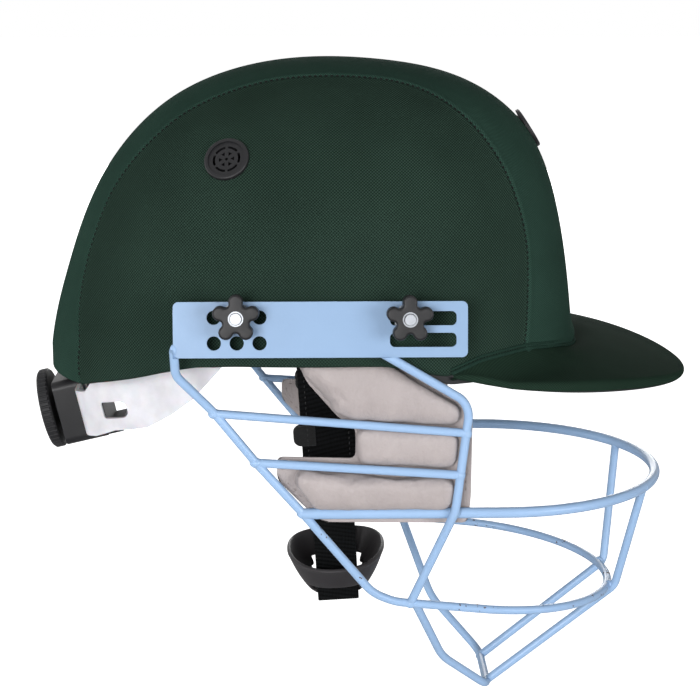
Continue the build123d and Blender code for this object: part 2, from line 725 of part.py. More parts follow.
hoop_points = [lower_point(hoop_start_x), *guard_points(hoop_shares)]
hoop_route = FilletPolyline(*hoop_points, *reversed(flipped(hoop_points)),
                            radius=(hoop_bend, hoop_corner, hoop_corner, hoop_bend))
chin_hoop = coped(hoop_route, wire_radius, lower_ring.part, front_bar_right,
                  mirrored(front_bar_right))
finish(chin_hoop, "chin_hoop")

nose_y = nose_top_share * guard_half_width
nose_top = Vector(upper_ring_round_x + (guard_half_width ** 2 - nose_y ** 2) ** 0.5, nose_y,
                  upper_ring_z)
turn_y = nose_turn_share * lower_half_width
turn_x = (lower_half_width ** 2 - turn_y ** 2) ** 0.5
outward = Vector(turn_x, turn_y, 0).normalized()
nose_turn = Vector(lower_round_x + turn_x, turn_y, lower_side_z - lower_fall_share * turn_x)
nose_turn += outward * 2 * wire_radius
nose_foot = Vector(hoop_points[-1].X, nose_foot_share * guard_half_width, hoop_points[-1].Z)
nose_bar = coped(FilletPolyline(*flipped((nose_top, nose_turn, nose_foot)), radius=nose_bend),
                 wire_radius, upper_ring.part, lower_ring.part, chin_hoop)
finish(nose_bar, "nose_bar_right")
finish(mirrored(nose_bar), "nose_bar_left")


# Cheek cushions on their sheet, which lies against the inside of the ring
def pad_outline(shares):
    """Outline points of a cheek cushion, seen from the side."""
    return [(u * pad_length, v * pad_depth) for u, v in shares]


def cushion(shares, base, height):
    """Cushion with drawn-in sides and a crown, from its base plane outward or inward."""
    with BuildPart() as pad:
        for rise, inset, corner in pad_form_shares:
            with BuildSketch(Plane.XZ.offset(base + rise * height)):
                with BuildLine():
                    Polyline(*pad_outline(shares), close=True)
                make_face()
                offset(amount=-inset * pad_short_side - fit_gap, kind=Kind.INTERSECTION)
                fillet(vertices(), corner * pad_corner)
        loft()
    return pad.part


sheet_out = guard_half_width - ring_radius - skin_gap
with BuildPart() as cheek_sheet:
    with BuildSketch(Plane.XZ.offset(sheet_out - sheet_wall)):
        with BuildLine():
            Polyline(*pad_outline(sheet_shares), close=True)
        make_face()
        fillet(vertices(), sheet_corner)
    extrude(amount=sheet_wall)
finish(cheek_sheet.part, "cheek_sheet_right")
finish(mirrored(cheek_sheet.part), "cheek_sheet_left")

for label, shares, base, height in (
    ("cheek_pad_upper", upper_pad_shares, sheet_out, pad_height),
    ("cheek_pad_middle", middle_pad_shares, sheet_out, pad_height),
    ("cheek_pad_lower", lower_pad_shares, sheet_out, pad_height),
    ("cheek_pad_inner", inner_pad_shares, sheet_out - sheet_wall, -inner_pad_height),
):
    pad = cushion(shares, base, height)
    finish(pad, f"{label}_right")
    finish(mirrored(pad), f"{label}_left")

# Chin strap frame: x to the wearer's left, y up the strap, z forward, at the anchors' axis
tilt_out, tilt_up = cos(radians(strap_tilt)), sin(radians(strap_tilt))
strap_plane = Plane((anchor_x, 0, anchor_z), x_dir=(0, 1, 0), z_dir=(tilt_out, 0, tilt_up))
strap_side = Plane((anchor_x, 0, anchor_z), x_dir=strap_plane.z_dir, z_dir=(0, -1, 0))
anchor_wall = shell_inner.find_intersection_points(
    Axis(strap_anchor_plane.origin, strap_anchor_plane.z_dir))[0][0]
anchor_depth = abs(anchor_wall.Y) - anchor_reach

with BuildPart() as strap_anchors:
    for plane in anchor_planes:
        with BuildSketch(plane):
            Circle(anchor_radius)
        extrude(amount=anchor_depth + overrun)
    add(liner_outer, mode=Mode.INTERSECT)
    for plane in anchor_planes:
        with BuildSketch(plane):
            Circle(pin_radius)
        extrude(amount=-(webbing_wall + 2 * running_gap + cap_wall))
        with BuildSketch(plane.offset(-(webbing_wall + 2 * running_gap))):
            Circle(cap_radius)
        extrude(amount=-cap_wall)
finish(strap_anchors.part, "strap_anchors")

foot_v = -(cup_bottom + skin_gap + webbing_wall / 2)
foot = Vector(strap_foot_y, foot_v)
top = Vector(hanger_turn_y, -hanger_turn)
run = (top - foot).normalized()
outside = Vector(run.Y, -run.X) * webbing_wall


def on_strap(v):
    """Point at height v on the straight side run of the webbing, on the wearer's left."""
    return foot + run * ((v - foot.Y) / run.Y)


def ribbon(points, bends, width):
    """Strip of webbing with a route drawn in the strap frame, centred on it."""
    with BuildPart() as strip:
        with BuildSketch(strap_plane):
            with BuildLine():
                FilletPolyline(*points, radius=bends)
            trace(line_width=webbing_wall)
        extrude(amount=width / 2, both=True)
    return strip.part


hanger_u = anchor_reach - running_gap - webbing_wall / 2
hanger_points = [(-hanger_u, hanger_top), (-hanger_u, -hanger_fall)]
hanger_points += [(-point.X, point.Y) for point in (top + outside, on_strap(-hanger_end) + outside)]
hanger_strip = ribbon(hanger_points, hanger_bend, hanger_width)
with BuildPart() as strap_hanger:
    add(hanger_strip)
    with BuildSketch(Plane.XZ.offset(-half_width)):
        with Locations((anchor_x, anchor_z)):
            Circle(pin_radius + hole_clearance)
    extrude(amount=2 * half_width, mode=Mode.SUBTRACT)
finish(strap_hanger.part, "strap_hanger_right")
finish(mirrored(strap_hanger.part), "strap_hanger_left")

webbing_points = [on_strap(-webbing_top), foot]
webbing_points += [Vector(-point.X, point.Y) for point in reversed(webbing_points)]
finish(ribbon(webbing_points, strap_bend, webbing_width), "chin_webbing")

with BuildPart() as strap_tabs:
    tab_point = on_strap(-tab_drop) + outside * 1.5
    tab_plane = Plane(strap_plane.from_local_coords((-tab_point.X, tab_point.Y, -tab_offset)),
                      x_dir=strap_plane.z_dir,
                      z_dir=strap_plane.from_local_coords((-outside.X, outside.Y, 0))
                      - strap_plane.origin)
    with BuildSketch(tab_plane):
        RectangleRounded(tab_width, tab_height, tab_width / 3)
    extrude(amount=tab_wall)
    mirror(about=Plane.XZ)
finish(strap_tabs.part, "strap_tabs")


def cup_form(inset, open_top):
    """Boat shape of the chin cup, inset from its outside, extended upward by open_top."""
    rim = cup_height - cup_bottom
    with BuildPart() as form:
        with BuildSketch(strap_plane):
            with BuildLine():
                side = [(cup_half_width, rim - cup_arch_rise),
                        (cup_half_width, cup_end_rise - cup_bottom), (cup_base_half, -cup_bottom)]
                Polyline(*side, *[(-u, v) for u, v in reversed(side)])
                ThreePointArc(side[0], (0, rim), (-cup_half_width, rim - cup_arch_rise))
            make_face()
            fillet(vertices().group_by(Axis.Y)[:2], cup_round)
            if inset:
                offset(amount=-inset)
                with Locations((0, rim - cup_arch_rise - inset)):
                    Rectangle(2 * (cup_half_width - inset), open_top, align=(Align.CENTER, Align.MIN))
        extrude(amount=2 * cup_half_length, both=True)
        with BuildSketch(strap_side):
            with BuildLine():
                Polyline(*[(u * cup_half_length, v * cup_height - cup_bottom)
                           for u, v in cup_side_shares], close=True)
            make_face()
            fillet(vertices(), cup_side_round)
            if inset:
                offset(amount=-inset)
                with Locations((0, rim - cup_wall - cup_side_round)):
                    Rectangle(2 * cup_half_length * cup_side_shares[4][0] - 2 * inset, open_top,
                              align=(Align.CENTER, Align.MIN))
        extrude(amount=2 * cup_half_width, both=True, mode=Mode.INTERSECT)
    return form.part


cup_outside, cup_inside = cup_form(0, 0), cup_form(cup_wall, overrun)
with BuildPart() as chin_cup:
    add(cup_outside)
    add(cup_inside, mode=Mode.SUBTRACT)
    with BuildSketch(strap_side):
        with Locations((0, cup_height - cup_bottom)):
            RectangleRounded(2 * cup_notch_half, 2 * cup_notch_depth, cup_side_round)
    extrude(amount=2 * cup_half_width, both=True, mode=Mode.SUBTRACT)
    with BuildSketch(strap_plane):
        for way in (-1, 1):
            with Locations((way * (cup_slot_start + cup_slot_end) / 2, -cup_bottom)):
                Rectangle(cup_slot_end - cup_slot_start, 2 * cup_end_rise)
    extrude(amount=webbing_width / 2 + hole_clearance, both=True, mode=Mode.SUBTRACT)
finish(chin_cup.part, "chin_cup")

# Rear adjuster frame: x forward along the dial's axis, y to the wearer's left, z up its face
dial_cos, dial_sin = cos(radians(dial_tilt)), sin(radians(dial_tilt))
cradle_plane = Plane((dial_x, 0, dial_z), x_dir=(dial_cos, 0, dial_sin),
                     z_dir=(-dial_sin, 0, dial_cos))
dial_plane = Plane((dial_x, 0, dial_z), x_dir=(0, 1, 0), z_dir=(dial_cos, 0, dial_sin))
cradle_side = Plane((dial_x, 0, dial_z), x_dir=(dial_cos, 0, dial_sin), z_dir=(0, -1, 0))
cover_end = cover_start + cover_wall
rack_start = cover_end + rack_depth
rack_starts = (rack_start + rack_gap, rack_start + 2 * rack_gap + arm_wall)
rack_room = 2 * arm_wall + 3 * rack_gap
housing_mid = (housing_low + housing_high) / 2
housing_height = housing_high - housing_low

with BuildPart() as dial_knob:
    with BuildSketch(dial_plane):
        Circle(dial_radius)
    extrude(amount=dial_wall)
    chamfer(dial_knob.edges().filter_by(GeomType.CIRCLE), dial_edge)
    with BuildSketch(dial_plane):
        with PolarLocations(dial_radius, dial_ribs):
            Circle(dial_rib_radius)
    extrude(amount=dial_wall, mode=Mode.SUBTRACT)
    with BuildSketch(dial_plane):
        Circle(dial_dish_radius)
        Circle(dial_hub_radius, mode=Mode.SUBTRACT)
    extrude(amount=dial_dish, mode=Mode.SUBTRACT)
    with BuildSketch(dial_plane.offset(dial_wall)):
        Circle(dial_hub_radius)
    extrude(amount=dial_hub - dial_wall)
    with BuildSketch(dial_plane.offset(2 * dial_dish)):
        Circle(shaft_radius + fit_gap)
    extrude(amount=dial_hub, mode=Mode.SUBTRACT)
finish(dial_knob.part, "dial_knob")

with BuildPart() as dial_pinion:
    with BuildSketch(dial_plane.offset(2 * dial_dish + fit_gap)):
        Circle(shaft_radius)
    extrude(amount=housing_end - cover_wall - 2 * dial_dish)
    with BuildSketch(dial_plane.offset(rack_starts[0])):
        Circle(pinion_root)
        with PolarLocations((pinion_root + pinion_outer) / 2, pinion_teeth):
            Rectangle(pinion_outer - pinion_root + 2 * rack_gap, rack_tooth)
        Circle(pinion_outer, mode=Mode.INTERSECT)
    extrude(amount=rack_room - 2 * rack_gap)
finish(dial_pinion.part, "dial_pinion")

with BuildPart() as housing_cover:
    with BuildSketch(dial_plane.offset(cover_start)):
        with Locations((0, housing_mid)):
            RectangleRounded(2 * housing_half_width, housing_height, housing_corner)
        Circle(shaft_radius + hole_clearance, mode=Mode.SUBTRACT)
    extrude(amount=cover_wall)
finish(housing_cover.part, "housing_cover")

with BuildPart() as tongue:
    with BuildSketch(Plane.YZ.offset(-half_length)):
        with Locations((0, tongue_top)):
            Rectangle(2 * tongue_half_width, tongue_top - tongue_low,
                      align=(Align.CENTER, Align.MAX))
        fillet(vertices().group_by(Axis.Y)[-1], tongue_half_width / 2)
    extrude(amount=shell_inner_inset + skin_gap + tongue_wall)
    add(liner_outer, mode=Mode.INTERSECT)
    with BuildSketch(rivet_plane):
        Circle(rivet_radius + fit_gap)
    extrude(amount=half_length / 2, mode=Mode.SUBTRACT)

with BuildPart() as dial_housing:
    with BuildSketch(dial_plane.offset(cover_end)):
        with Locations((0, housing_mid)):
            RectangleRounded(2 * housing_half_width, housing_height, housing_corner)
    extrude(amount=housing_end - cover_end)
    fillet(dial_housing.faces().sort_by(Axis.X)[-1].edges(), housing_corner / 2)
    with BuildSketch(dial_plane.offset(housing_end - housing_corner)):
        with Locations((0, housing_low + ledge_wall / 2)):
            RectangleRounded(2 * ledge_half_width, ledge_wall, ledge_wall / 3)
    extrude(amount=ledge_reach - housing_end + housing_corner)
    add(tongue.part)
    with BuildSketch(dial_plane.offset(rack_start)):
        with Locations((0, (rack_low + rack_high) / 2)):
            Rectangle(2 * housing_half_width, rack_high - rack_low + 2 * rack_gap)
    extrude(amount=rack_room, mode=Mode.SUBTRACT)
    with BuildSketch(dial_plane.offset(cover_end)):
        Circle(shaft_radius + hole_clearance)
    extrude(amount=housing_end - cover_end - rack_gap, mode=Mode.SUBTRACT)
finish(dial_housing.part, "dial_housing")


def band_arm(layer, way, tooth_side):
    """Arm of the head band on the side given by way, with its rack in a layer of the housing."""
    start = rack_starts[layer] + arm_wall / 2
    path = [(start, -way * tail_reach), (start, way * arm_corner_y)]
    path += [(u * arm_span, way * v * arm_span) for u, v in arm_path_shares]
    with BuildPart() as arm:
        with BuildSketch(cradle_plane.offset(-arm_span / 2)):
            with BuildLine():
                FilletPolyline(*path, radius=(arm_bend, arm_sweep, arm_sweep))
            trace(line_width=arm_wall)
        extrude(amount=arm_span)
        with BuildSketch(cradle_side):
            with BuildLine():
                Polyline((0, rack_high), (0, rack_low),
                         *[(u * arm_span, v * arm_span) for u, v in arm_outline_shares],
                         close=True)
            make_face()
        extrude(amount=arm_span, both=True, mode=Mode.INTERSECT)
        with BuildSketch(cradle_side):
            with Locations((window_x, window_z)):
                Rectangle(window_length, window_height)
            fillet(vertices().group_by(Axis.X)[0], window_corner)
            fillet(vertices().group_by(Axis.X)[-1], window_height / 2 - window_corner / 2)
        extrude(amount=arm_span, both=True, mode=Mode.SUBTRACT)
        with BuildSketch(dial_plane):
            with Locations((way * rack_slot_shift, 0)):
                Rectangle(rack_slot_length, 2 * rack_slot_half)
            with Locations((way * rack_slot_shift, -tooth_side * rack_slot_half)):
                with GridLocations(rack_pitch, 1, rack_teeth, 1):
                    Rectangle(rack_tooth, 2 * (rack_slot_half - pinion_outer - hole_clearance),
                              mode=Mode.SUBTRACT)
        extrude(amount=rack_starts[1] + 2 * arm_wall, mode=Mode.SUBTRACT)
    return arm.part


finish(band_arm(0, -1, 1), "band_arm_right")
finish(band_arm(1, 1, -1), "band_arm_left")

with BuildPart() as tongue_rivet:
    with BuildSketch(rivet_plane):
        Circle(rivet_radius)
    extrude(amount=shell_wall + skin_gap + tongue_wall + rivet_head)
    with BuildSketch(rivet_plane.offset(shell_wall + skin_gap + tongue_wall)):
        Circle(rivet_head_radius)
    extrude(amount=rivet_head)
finish(tongue_rivet.part, "tongue_rivet")
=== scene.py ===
"""Cricket helmet: cloth, leather, paint and plastic on the frame's solids."""

import math

import bmesh
import bpy
import numpy as np
from mathutils import Matrix, Vector, noise


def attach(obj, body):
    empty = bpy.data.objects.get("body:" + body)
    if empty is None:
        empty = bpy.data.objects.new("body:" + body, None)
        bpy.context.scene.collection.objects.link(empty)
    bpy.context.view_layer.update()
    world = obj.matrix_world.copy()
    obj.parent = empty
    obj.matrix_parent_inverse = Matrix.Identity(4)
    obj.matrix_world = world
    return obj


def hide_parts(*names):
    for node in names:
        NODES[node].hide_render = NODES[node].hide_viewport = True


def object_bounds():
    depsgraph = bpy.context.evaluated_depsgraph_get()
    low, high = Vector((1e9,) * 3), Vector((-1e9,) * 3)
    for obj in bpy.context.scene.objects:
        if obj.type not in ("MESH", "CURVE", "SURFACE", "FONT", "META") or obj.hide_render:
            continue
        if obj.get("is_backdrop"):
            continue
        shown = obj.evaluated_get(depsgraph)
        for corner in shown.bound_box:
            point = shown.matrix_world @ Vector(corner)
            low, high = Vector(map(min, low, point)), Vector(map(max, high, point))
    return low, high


bl_info = {
    "name": "Cricket Helmet",
    "version": (1, 0, 0),
    "blender": (4, 5, 0),
    "location": "View3D > Sidebar > Helmet",
    "description": "Builds the cloth, cushions, straps and finishes of a cricket helmet",
    "category": "Object",
}

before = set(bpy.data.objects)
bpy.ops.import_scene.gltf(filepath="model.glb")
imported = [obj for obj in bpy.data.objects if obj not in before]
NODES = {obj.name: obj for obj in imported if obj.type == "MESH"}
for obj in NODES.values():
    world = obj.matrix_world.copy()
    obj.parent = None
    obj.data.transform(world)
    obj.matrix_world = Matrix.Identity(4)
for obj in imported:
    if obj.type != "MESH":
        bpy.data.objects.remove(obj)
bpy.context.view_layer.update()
MM = 0.001
SIDES = (("right", 1), ("left", -1))
# Materials by name, made by make_finishes
FINISHES = {}


def linear(code):
    """Linear colour of an sRGB hex code."""
    values = [int(code[i:i + 2], 16) / 255 for i in (1, 3, 5)]
    return [v / 12.92 if v <= 0.04045 else ((v + 0.055) / 1.055) ** 2.4 for v in values]


def colour(name, code, text):
    """Colour property with an sRGB default."""
    return bpy.props.FloatVectorProperty(
        name=name, description=text, subtype="COLOR", size=3, min=0, max=1, default=linear(code))


def length(name, value, text):
    """Length property, stated in millimetres and held in metres."""
    return bpy.props.FloatProperty(
        name=name, description=text, subtype="DISTANCE", unit="LENGTH", precision=5,
        default=value * MM)


def angle(name, degrees, text):
    """Angle property, stated in degrees and held in radians."""
    return bpy.props.FloatProperty(
        name=name, description=text, subtype="ANGLE", unit="ROTATION",
        default=math.radians(degrees))


class HelmetClothSettings(bpy.types.PropertyGroup):
    """Cover cloth: three panels on the shell and a sleeve on the peak."""

    side_colour: colour("Side cloth", "#2F4239", "Thread colour of the side panels")
    strip_colour: colour("Crown cloth", "#324C42", "Thread colour of the crown strip")
    peak_colour: colour("Peak cloth", "#23352B", "Thread colour of the peak sleeve")
    # Real threads are finer: both weaves are drawn coarser, so that they show
    weave: length("Side weave", 1.45, "Spacing of the threads of the side panels")
    fine_weave: length("Fine weave", 1.2, "Spacing of the threads of crown strip and peak")
    thickness: length("Cloth", 0.9, "Thickness of the cover cloth")


class HelmetGrilleSettings(bpy.types.PropertyGroup):
    """Paint of the wire grille and its side plates."""

    paint_colour: colour("Paint", "#849EBD", "Colour of the painted steel")
    rust_colour: colour("Rust", "#4A3226", "Colour of the steel where paint is chipped")
    bead: length("Weld bead", 2.35, "Radius of a weld bead")


class HelmetPaddingSettings(bpy.types.PropertyGroup):
    """Cheek cushions, inner foam and straps."""

    leather_colour: colour("Cushion leather", "#A69D9C", "Colour of the cheek cushions")
    webbing_colour: colour("Webbing", "#090A0B", "Colour of the chin strap")
    voxel: length("Cushion grain", 1.5, "Voxel size of the cushions before they are filled")
    swell: length("Cushion swell", 2.2, "How far the filling may push the leather")
    spread: length("Cushion spread", 1.5, "How far the filling pushes a cushion's sides outwards")
    pressure: bpy.props.FloatProperty(
        name="Cushion pressure", description="Pressure of the filling", default=5.0)


class HelmetStageSettings(bpy.types.PropertyGroup):
    """Camera, light and floor."""

    azimuth: angle("Azimuth", -1.2, "Turn of the camera round the helmet")
    elevation: angle("Elevation", 12.2, "Height of the camera above the horizon")
    distance: length("Distance", 950, "From the camera to the point that it looks at")
    lens: bpy.props.FloatProperty(name="Lens", description="Focal length", default=100.0)
    world: bpy.props.FloatProperty(
        name="World", description="Strength of the world where it lights the helmet",
        default=0.1)
    floor_colour: colour("Floor", "#F7F7F7", "Colour of the floor")


# Mesh helpers


def new_object(name, bm, body, finish, replaced=()):
    """Object from a bmesh, on a body, with its finish and the nodes it stands for."""
    mesh = bpy.data.meshes.new(name)
    bm.to_mesh(mesh)
    bm.free()
    mesh.materials.append(FINISHES[finish])
    mesh.shade_smooth()
    obj = bpy.data.objects.new(name, mesh)
    bpy.context.scene.collection.objects.link(obj)
    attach(obj, body)
    if replaced:
        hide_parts(*replaced)
    return obj


def add_modifier(obj, name, kind, **settings):
    """Modifier with its settings."""
    modifier = obj.modifiers.new(name, kind)
    for key, value in settings.items():
        setattr(modifier, key, value)
    return modifier


def subdivided(obj, levels=1):
    """Subdivision surface with equal levels in view and render."""
    return add_modifier(obj, "Subdivision", "SUBSURF", levels=levels, render_levels=levels)


def grid_sheet(rows, coordinates, closed=False):
    """Sheet through rows of points, with a UV map of lengths in metres."""
    across, along = len(rows[0]), len(rows)
    bm = bmesh.new()
    uv = bm.loops.layers.uv.new("Cloth")
    bmesh.ops.create_grid(bm, x_segments=across - 1, y_segments=along - 1, size=1)
    ordered = sorted(bm.verts, key=lambda v: (round(v.co.y, 5), round(v.co.x, 5)))
    if len(ordered) != across * along:
        raise RuntimeError("grid has an unexpected number of points")
    places = {}
    for k, vertex in enumerate(ordered):
        j, i = divmod(k, across)
        vertex.co = rows[j][i]
        places[vertex] = coordinates[j][i]
    for face in bm.faces:
        for loop in face.loops:
            loop[uv].uv = places[loop.vert][:2]
    if closed:
        bmesh.ops.remove_doubles(bm, verts=bm.verts, dist=0.02 * MM)
    bm.normal_update()
    return bm


def outward(bm, centre):
    """Turn a sheet's faces away from a point."""
    total = sum((face.calc_center_median() - centre).normalized().dot(face.normal)
                * face.calc_area() for face in bm.faces)
    if total < 0:
        bmesh.ops.reverse_faces(bm, faces=bm.faces)
        bm.normal_update()


def bevelled(bm, geom, offset, segments, affect="EDGES"):
    """Round off some corners or edges of a bmesh."""
    bmesh.ops.bevel(bm, geom=geom, offset=offset * MM, offset_type="OFFSET", segments=segments,
                    profile=0.5, affect=affect, material=-1)


def softened(bm, offset):
    """Round off all the sharp edges of a bmesh."""
    bevelled(bm, [e for e in bm.edges if e.calc_face_angle(0) > 1.0], offset, 2)


def add_bead(bm, place, turn, size, subdivisions=1):
    """Ellipsoid with its half sizes, for a stitch or a weld."""
    matrix = Matrix.Translation(place) @ turn @ Matrix.Diagonal((*size, 1))
    return bmesh.ops.create_icosphere(bm, subdivisions=subdivisions, radius=1, matrix=matrix)


def mirrored_mesh(bm):
    """Mirror a bmesh to the other side, with its faces outwards again."""
    bmesh.ops.scale(bm, vec=(1, -1, 1), verts=bm.verts)
    bmesh.ops.reverse_faces(bm, faces=bm.faces)
    bm.normal_update()
    return bm


def smooth_line(points, count):
    """Evenly spaced points on a smooth line through the given ones."""
    points = np.array(points, float)
    ends = np.vstack([2 * points[0] - points[1], points, 2 * points[-1] - points[-2]])
    dense = []
    for k in range(1, len(ends) - 2):
        p0, p1, p2, p3 = ends[k - 1:k + 3]
        for t in np.linspace(0, 1, 24, endpoint=False):
            dense.append(0.5 * (2 * p1 + (p2 - p0) * t + (2 * p0 - 5 * p1 + 4 * p2 - p3) * t ** 2
                                + (3 * p1 - p0 - 3 * p2 + p3) * t ** 3))
    dense.append(ends[-2])
    return resampled(np.array(dense), np.linspace(0, 1, count))


def resampled(line, shares):
    """Points of a polyline at shares of its length."""
    steps = np.r_[0, np.cumsum(np.linalg.norm(np.diff(line, axis=0), axis=1))]
    at = np.array(shares) * steps[-1]
    return np.stack([np.interp(at, steps, line[:, axis]) for axis in range(3)], axis=1)


# The dome: lines on it and distances over it, in millimetres

HALF_LENGTH, HALF_WIDTH, CROWN, SIDE_POWER = 126.0, 98.0, 134.0, 2.3
PROFILE = ((-1, 0), (-0.93, 0.276), (-0.81, 0.565), (-0.547, 0.849), (-0.125, 0.99),
           (0.254, 0.99), (0.579, 0.918), (0.794, 0.765), (0.919, 0.489), (0.992, 0))
NAPE_WAY, BROW_WAY = (0.12, 1), (0.1, -1)
# The solids have a fuller brow than the photographed helmet
SOLID_BROW_WAY = (-0.1, -2)
# Rays that push a point onto the dome leave its axis level with the point, but no higher than this
RAY_TOP = 25
SEAM = ((-108, 58.8, -14.6), (-108.2, 58, -3), (-108, 57, 10), (-107.7, 50.7, 27), (-104.4, 47, 44),
        (-99, 45, 61), (-93, 43, 76), (-84, 42.4, 89), (-72, 41.5, 100), (-58, 40, 112),
        (-45, 39, 118), (-31, 38, 123), (-15, 37, 127), (8, 36.6, 128), (30.5, 37, 127.5),
        (44, 39, 124.5), (57, 43.7, 119), (70.6, 50.5, 109), (82.4, 56.7, 94.6),
        (90.5, 60.3, 78), (94.6, 61.5, 65), (97, 63, 51.5), (98, 66.5, 34), (97.4, 69, 18),
        (96, 71, 6.9))
ROOT = ((61.4, 91, 0), (68.9, 88, 2.6), (77.2, 84, 5), (96, 71, 6.9), (106, 60, 5.6),
        (113.9, 49, 4.1), (120.7, 33, 1.3), (124, 16, -0.4), (125, 0, -1))
RIM = ((-108, 58.8, -14.6), (-100, 66, -12.2), (-84, 78, -7), (-66, 86, -0.3), (-52, 91, 4.2),
       (-38, 94, 5.8), (-20, 97, 6), (0, 98, 6), (20, 97, 6), (34, 96, 5.4), (46, 94, 2.6),
       (61.4, 91, 0), (68.9, 88, 2.6), (77.2, 84, 5), (87, 78, 6.4), (96, 71, 6.9))
# Place, direction and flange radius of the vents
SIDE_VENT = ((-38.3, 70.9, 93.4), (-0.236, 0.79, 0.565), 9.2)
FRONT_VENT = ((101.9, 0, 100), (0.824, 0, 0.567), 9.2)


def profile_table(brow_way):
    """Angle and radius of the profile, from a spline through its points."""
    points = np.array(PROFILE) * (HALF_LENGTH, CROWN)
    knots = np.r_[0, np.cumsum(np.linalg.norm(np.diff(points, axis=0), axis=1))]
    n = len(points)
    matrix, right = np.zeros((n, n)), np.zeros((n, 2))
    matrix[0, 0] = matrix[-1, -1] = 1
    right[0], right[-1] = NAPE_WAY, brow_way
    for i in range(1, n - 1):
        before, after = knots[i] - knots[i - 1], knots[i + 1] - knots[i]
        matrix[i, i - 1:i + 2] = after, 2 * (before + after), before
        right[i] = 3 * (after * (points[i] - points[i - 1]) / before
                        + before * (points[i + 1] - points[i]) / after)
    slopes = np.linalg.solve(matrix, right)
    line = []
    t = np.linspace(0, 1, 60)[:, None]
    for i in range(n - 1):
        h = knots[i + 1] - knots[i]
        line.append((2 * t ** 3 - 3 * t ** 2 + 1) * points[i]
                    + (t ** 3 - 2 * t ** 2 + t) * h * slopes[i]
                    + (3 * t ** 2 - 2 * t ** 3) * points[i + 1]
                    + (t ** 3 - t ** 2) * h * slopes[i + 1])
    line = np.vstack(line) / (HALF_LENGTH, CROWN)
    angles = np.arctan2(line[:, 1], line[:, 0])
    order = np.argsort(angles)
    return angles[order], np.linalg.norm(line, axis=1)[order]


SOLID_PROFILE, COVER_PROFILE = profile_table(SOLID_BROW_WAY), profile_table(BROW_WAY)


def dome_measure(points, profile=COVER_PROFILE):
    """Below one inside the dome, one on it and above one outside."""
    x, y, z = np.moveaxis(points, -1, 0)
    size = np.clip(1 - np.abs(y / HALF_WIDTH) ** SIDE_POWER, 1e-12, None) ** (1 / SIDE_POWER)
    u, v = x / HALF_LENGTH, np.maximum(z, 0) / CROWN
    radius = np.interp(np.arctan2(v, u), *profile)
    return np.hypot(u, v) / (size * radius)


def reach(points, profile=COVER_PROFILE):
    """Middle of the ray through each point, and the stretch that brings the point onto the dome."""
    middle = np.zeros_like(points)
    middle[..., 2] = np.minimum(points[..., 2], RAY_TOP)
    low, high = np.full(points.shape[:-1], 0.3), np.full(points.shape[:-1], 2.6)
    for _ in range(40):
        share = (low + high) / 2
        inside = dome_measure(middle + (points - middle) * share[..., None], profile) < 1
        low, high = np.where(inside, share, low), np.where(inside, high, share)
    return middle, low[..., None]


def on_dome(points, stand=0.0):
    """Points pushed onto the dome, along rays from its middle."""
    points = np.array(points, float)
    middle, share = reach(points)
    way = points - middle
    return middle + way * share + stand * way / np.linalg.norm(way, axis=-1, keepdims=True)


# How far the real rim lies above that of the solids, along the head, and where the lift fades
NAPE_LIFT = ((-110, 4.6), (-100, 4.6), (-86, 3.9), (-63, 1.8), (-45, 0))
NAPE_LIFT_TOP = 10


def nape_raised(points):
    """Points near the rim moved up at the nape, where the solids reach lower than the real rim."""
    points = np.array(points, float)
    x, z = points[..., 0], points[..., 2]
    rim = np.interp(x, [p[0] for p in RIM], [p[2] for p in RIM])
    share = np.clip((NAPE_LIFT_TOP - z) / (NAPE_LIFT_TOP - rim), 0, 1) ** 1.5
    points[..., 2] = z + share * np.interp(x, *np.transpose(NAPE_LIFT))
    return points


def side_distance(points, axis, level=6):
    """Length on the dome along one axis, for cloth that lies flat on its side."""
    points = np.array(points, float)
    total = np.zeros(points.shape[:-1])
    steps = 48
    start = points.copy()
    start[..., axis] = 0 if axis == 0 else level
    before = None
    for k in range(steps + 1):
        at = start + (points - start) * k / steps
        ratio = dome_measure(np.stack([at[..., 0], np.zeros_like(total), at[..., 2]], -1))
        y = HALF_WIDTH * np.clip(1 - np.minimum(ratio, 1) ** SIDE_POWER, 0, 1) ** (1 / SIDE_POWER)
        if before is not None:
            step = (points[..., axis] - start[..., axis]) / steps
            total += np.sign(step) * np.hypot(step, y - before)
        before = y
    return total


# Turned hem: how far inwards and down each of its lines lies, and their distance on the cloth
HEM = ((0.35, 0.55), (1.2, 0.95), (2.6, 1.0), (4.4, 0.9))
HEM_STEP = 1.5
# Distances of the sheet's lines from a seam, and the shape of the groove and ridge beside it
SEAM_STEPS = (0, 0.5, 1.0, 1.6, 2.3, 3.2, 4.5, 6.5, 9)
SEAM_GROOVE, SEAM_RIDGE, SEAM_PUCKER = 0.75, 0.32, 0.1
SEAM_GROOVE_WIDTH, SEAM_RIDGE_WIDTH, SEAM_RIDGE_PLACE = 0.75, 1.3, 2.2
SEAM_PUCKERS = 95
# Rows of cloth narrower than this are evenly divided
NARROW_PANEL = 24
# How deep below its flange a vent clears the cloth
VENT_DEPTH = 25


def seam_profile(distance, share):
    """Height of the cloth beside a seam: a stitched groove and the ridge of its turned edge."""
    pucker = SEAM_PUCKER * np.sin(share * 2 * math.pi * SEAM_PUCKERS)
    groove = np.exp(-(distance / SEAM_GROOVE_WIDTH) ** 2)
    ridge = np.exp(-((distance - SEAM_RIDGE_PLACE) / SEAM_RIDGE_WIDTH) ** 2)
    return -SEAM_GROOVE * groove + (SEAM_RIDGE + pucker) * ridge


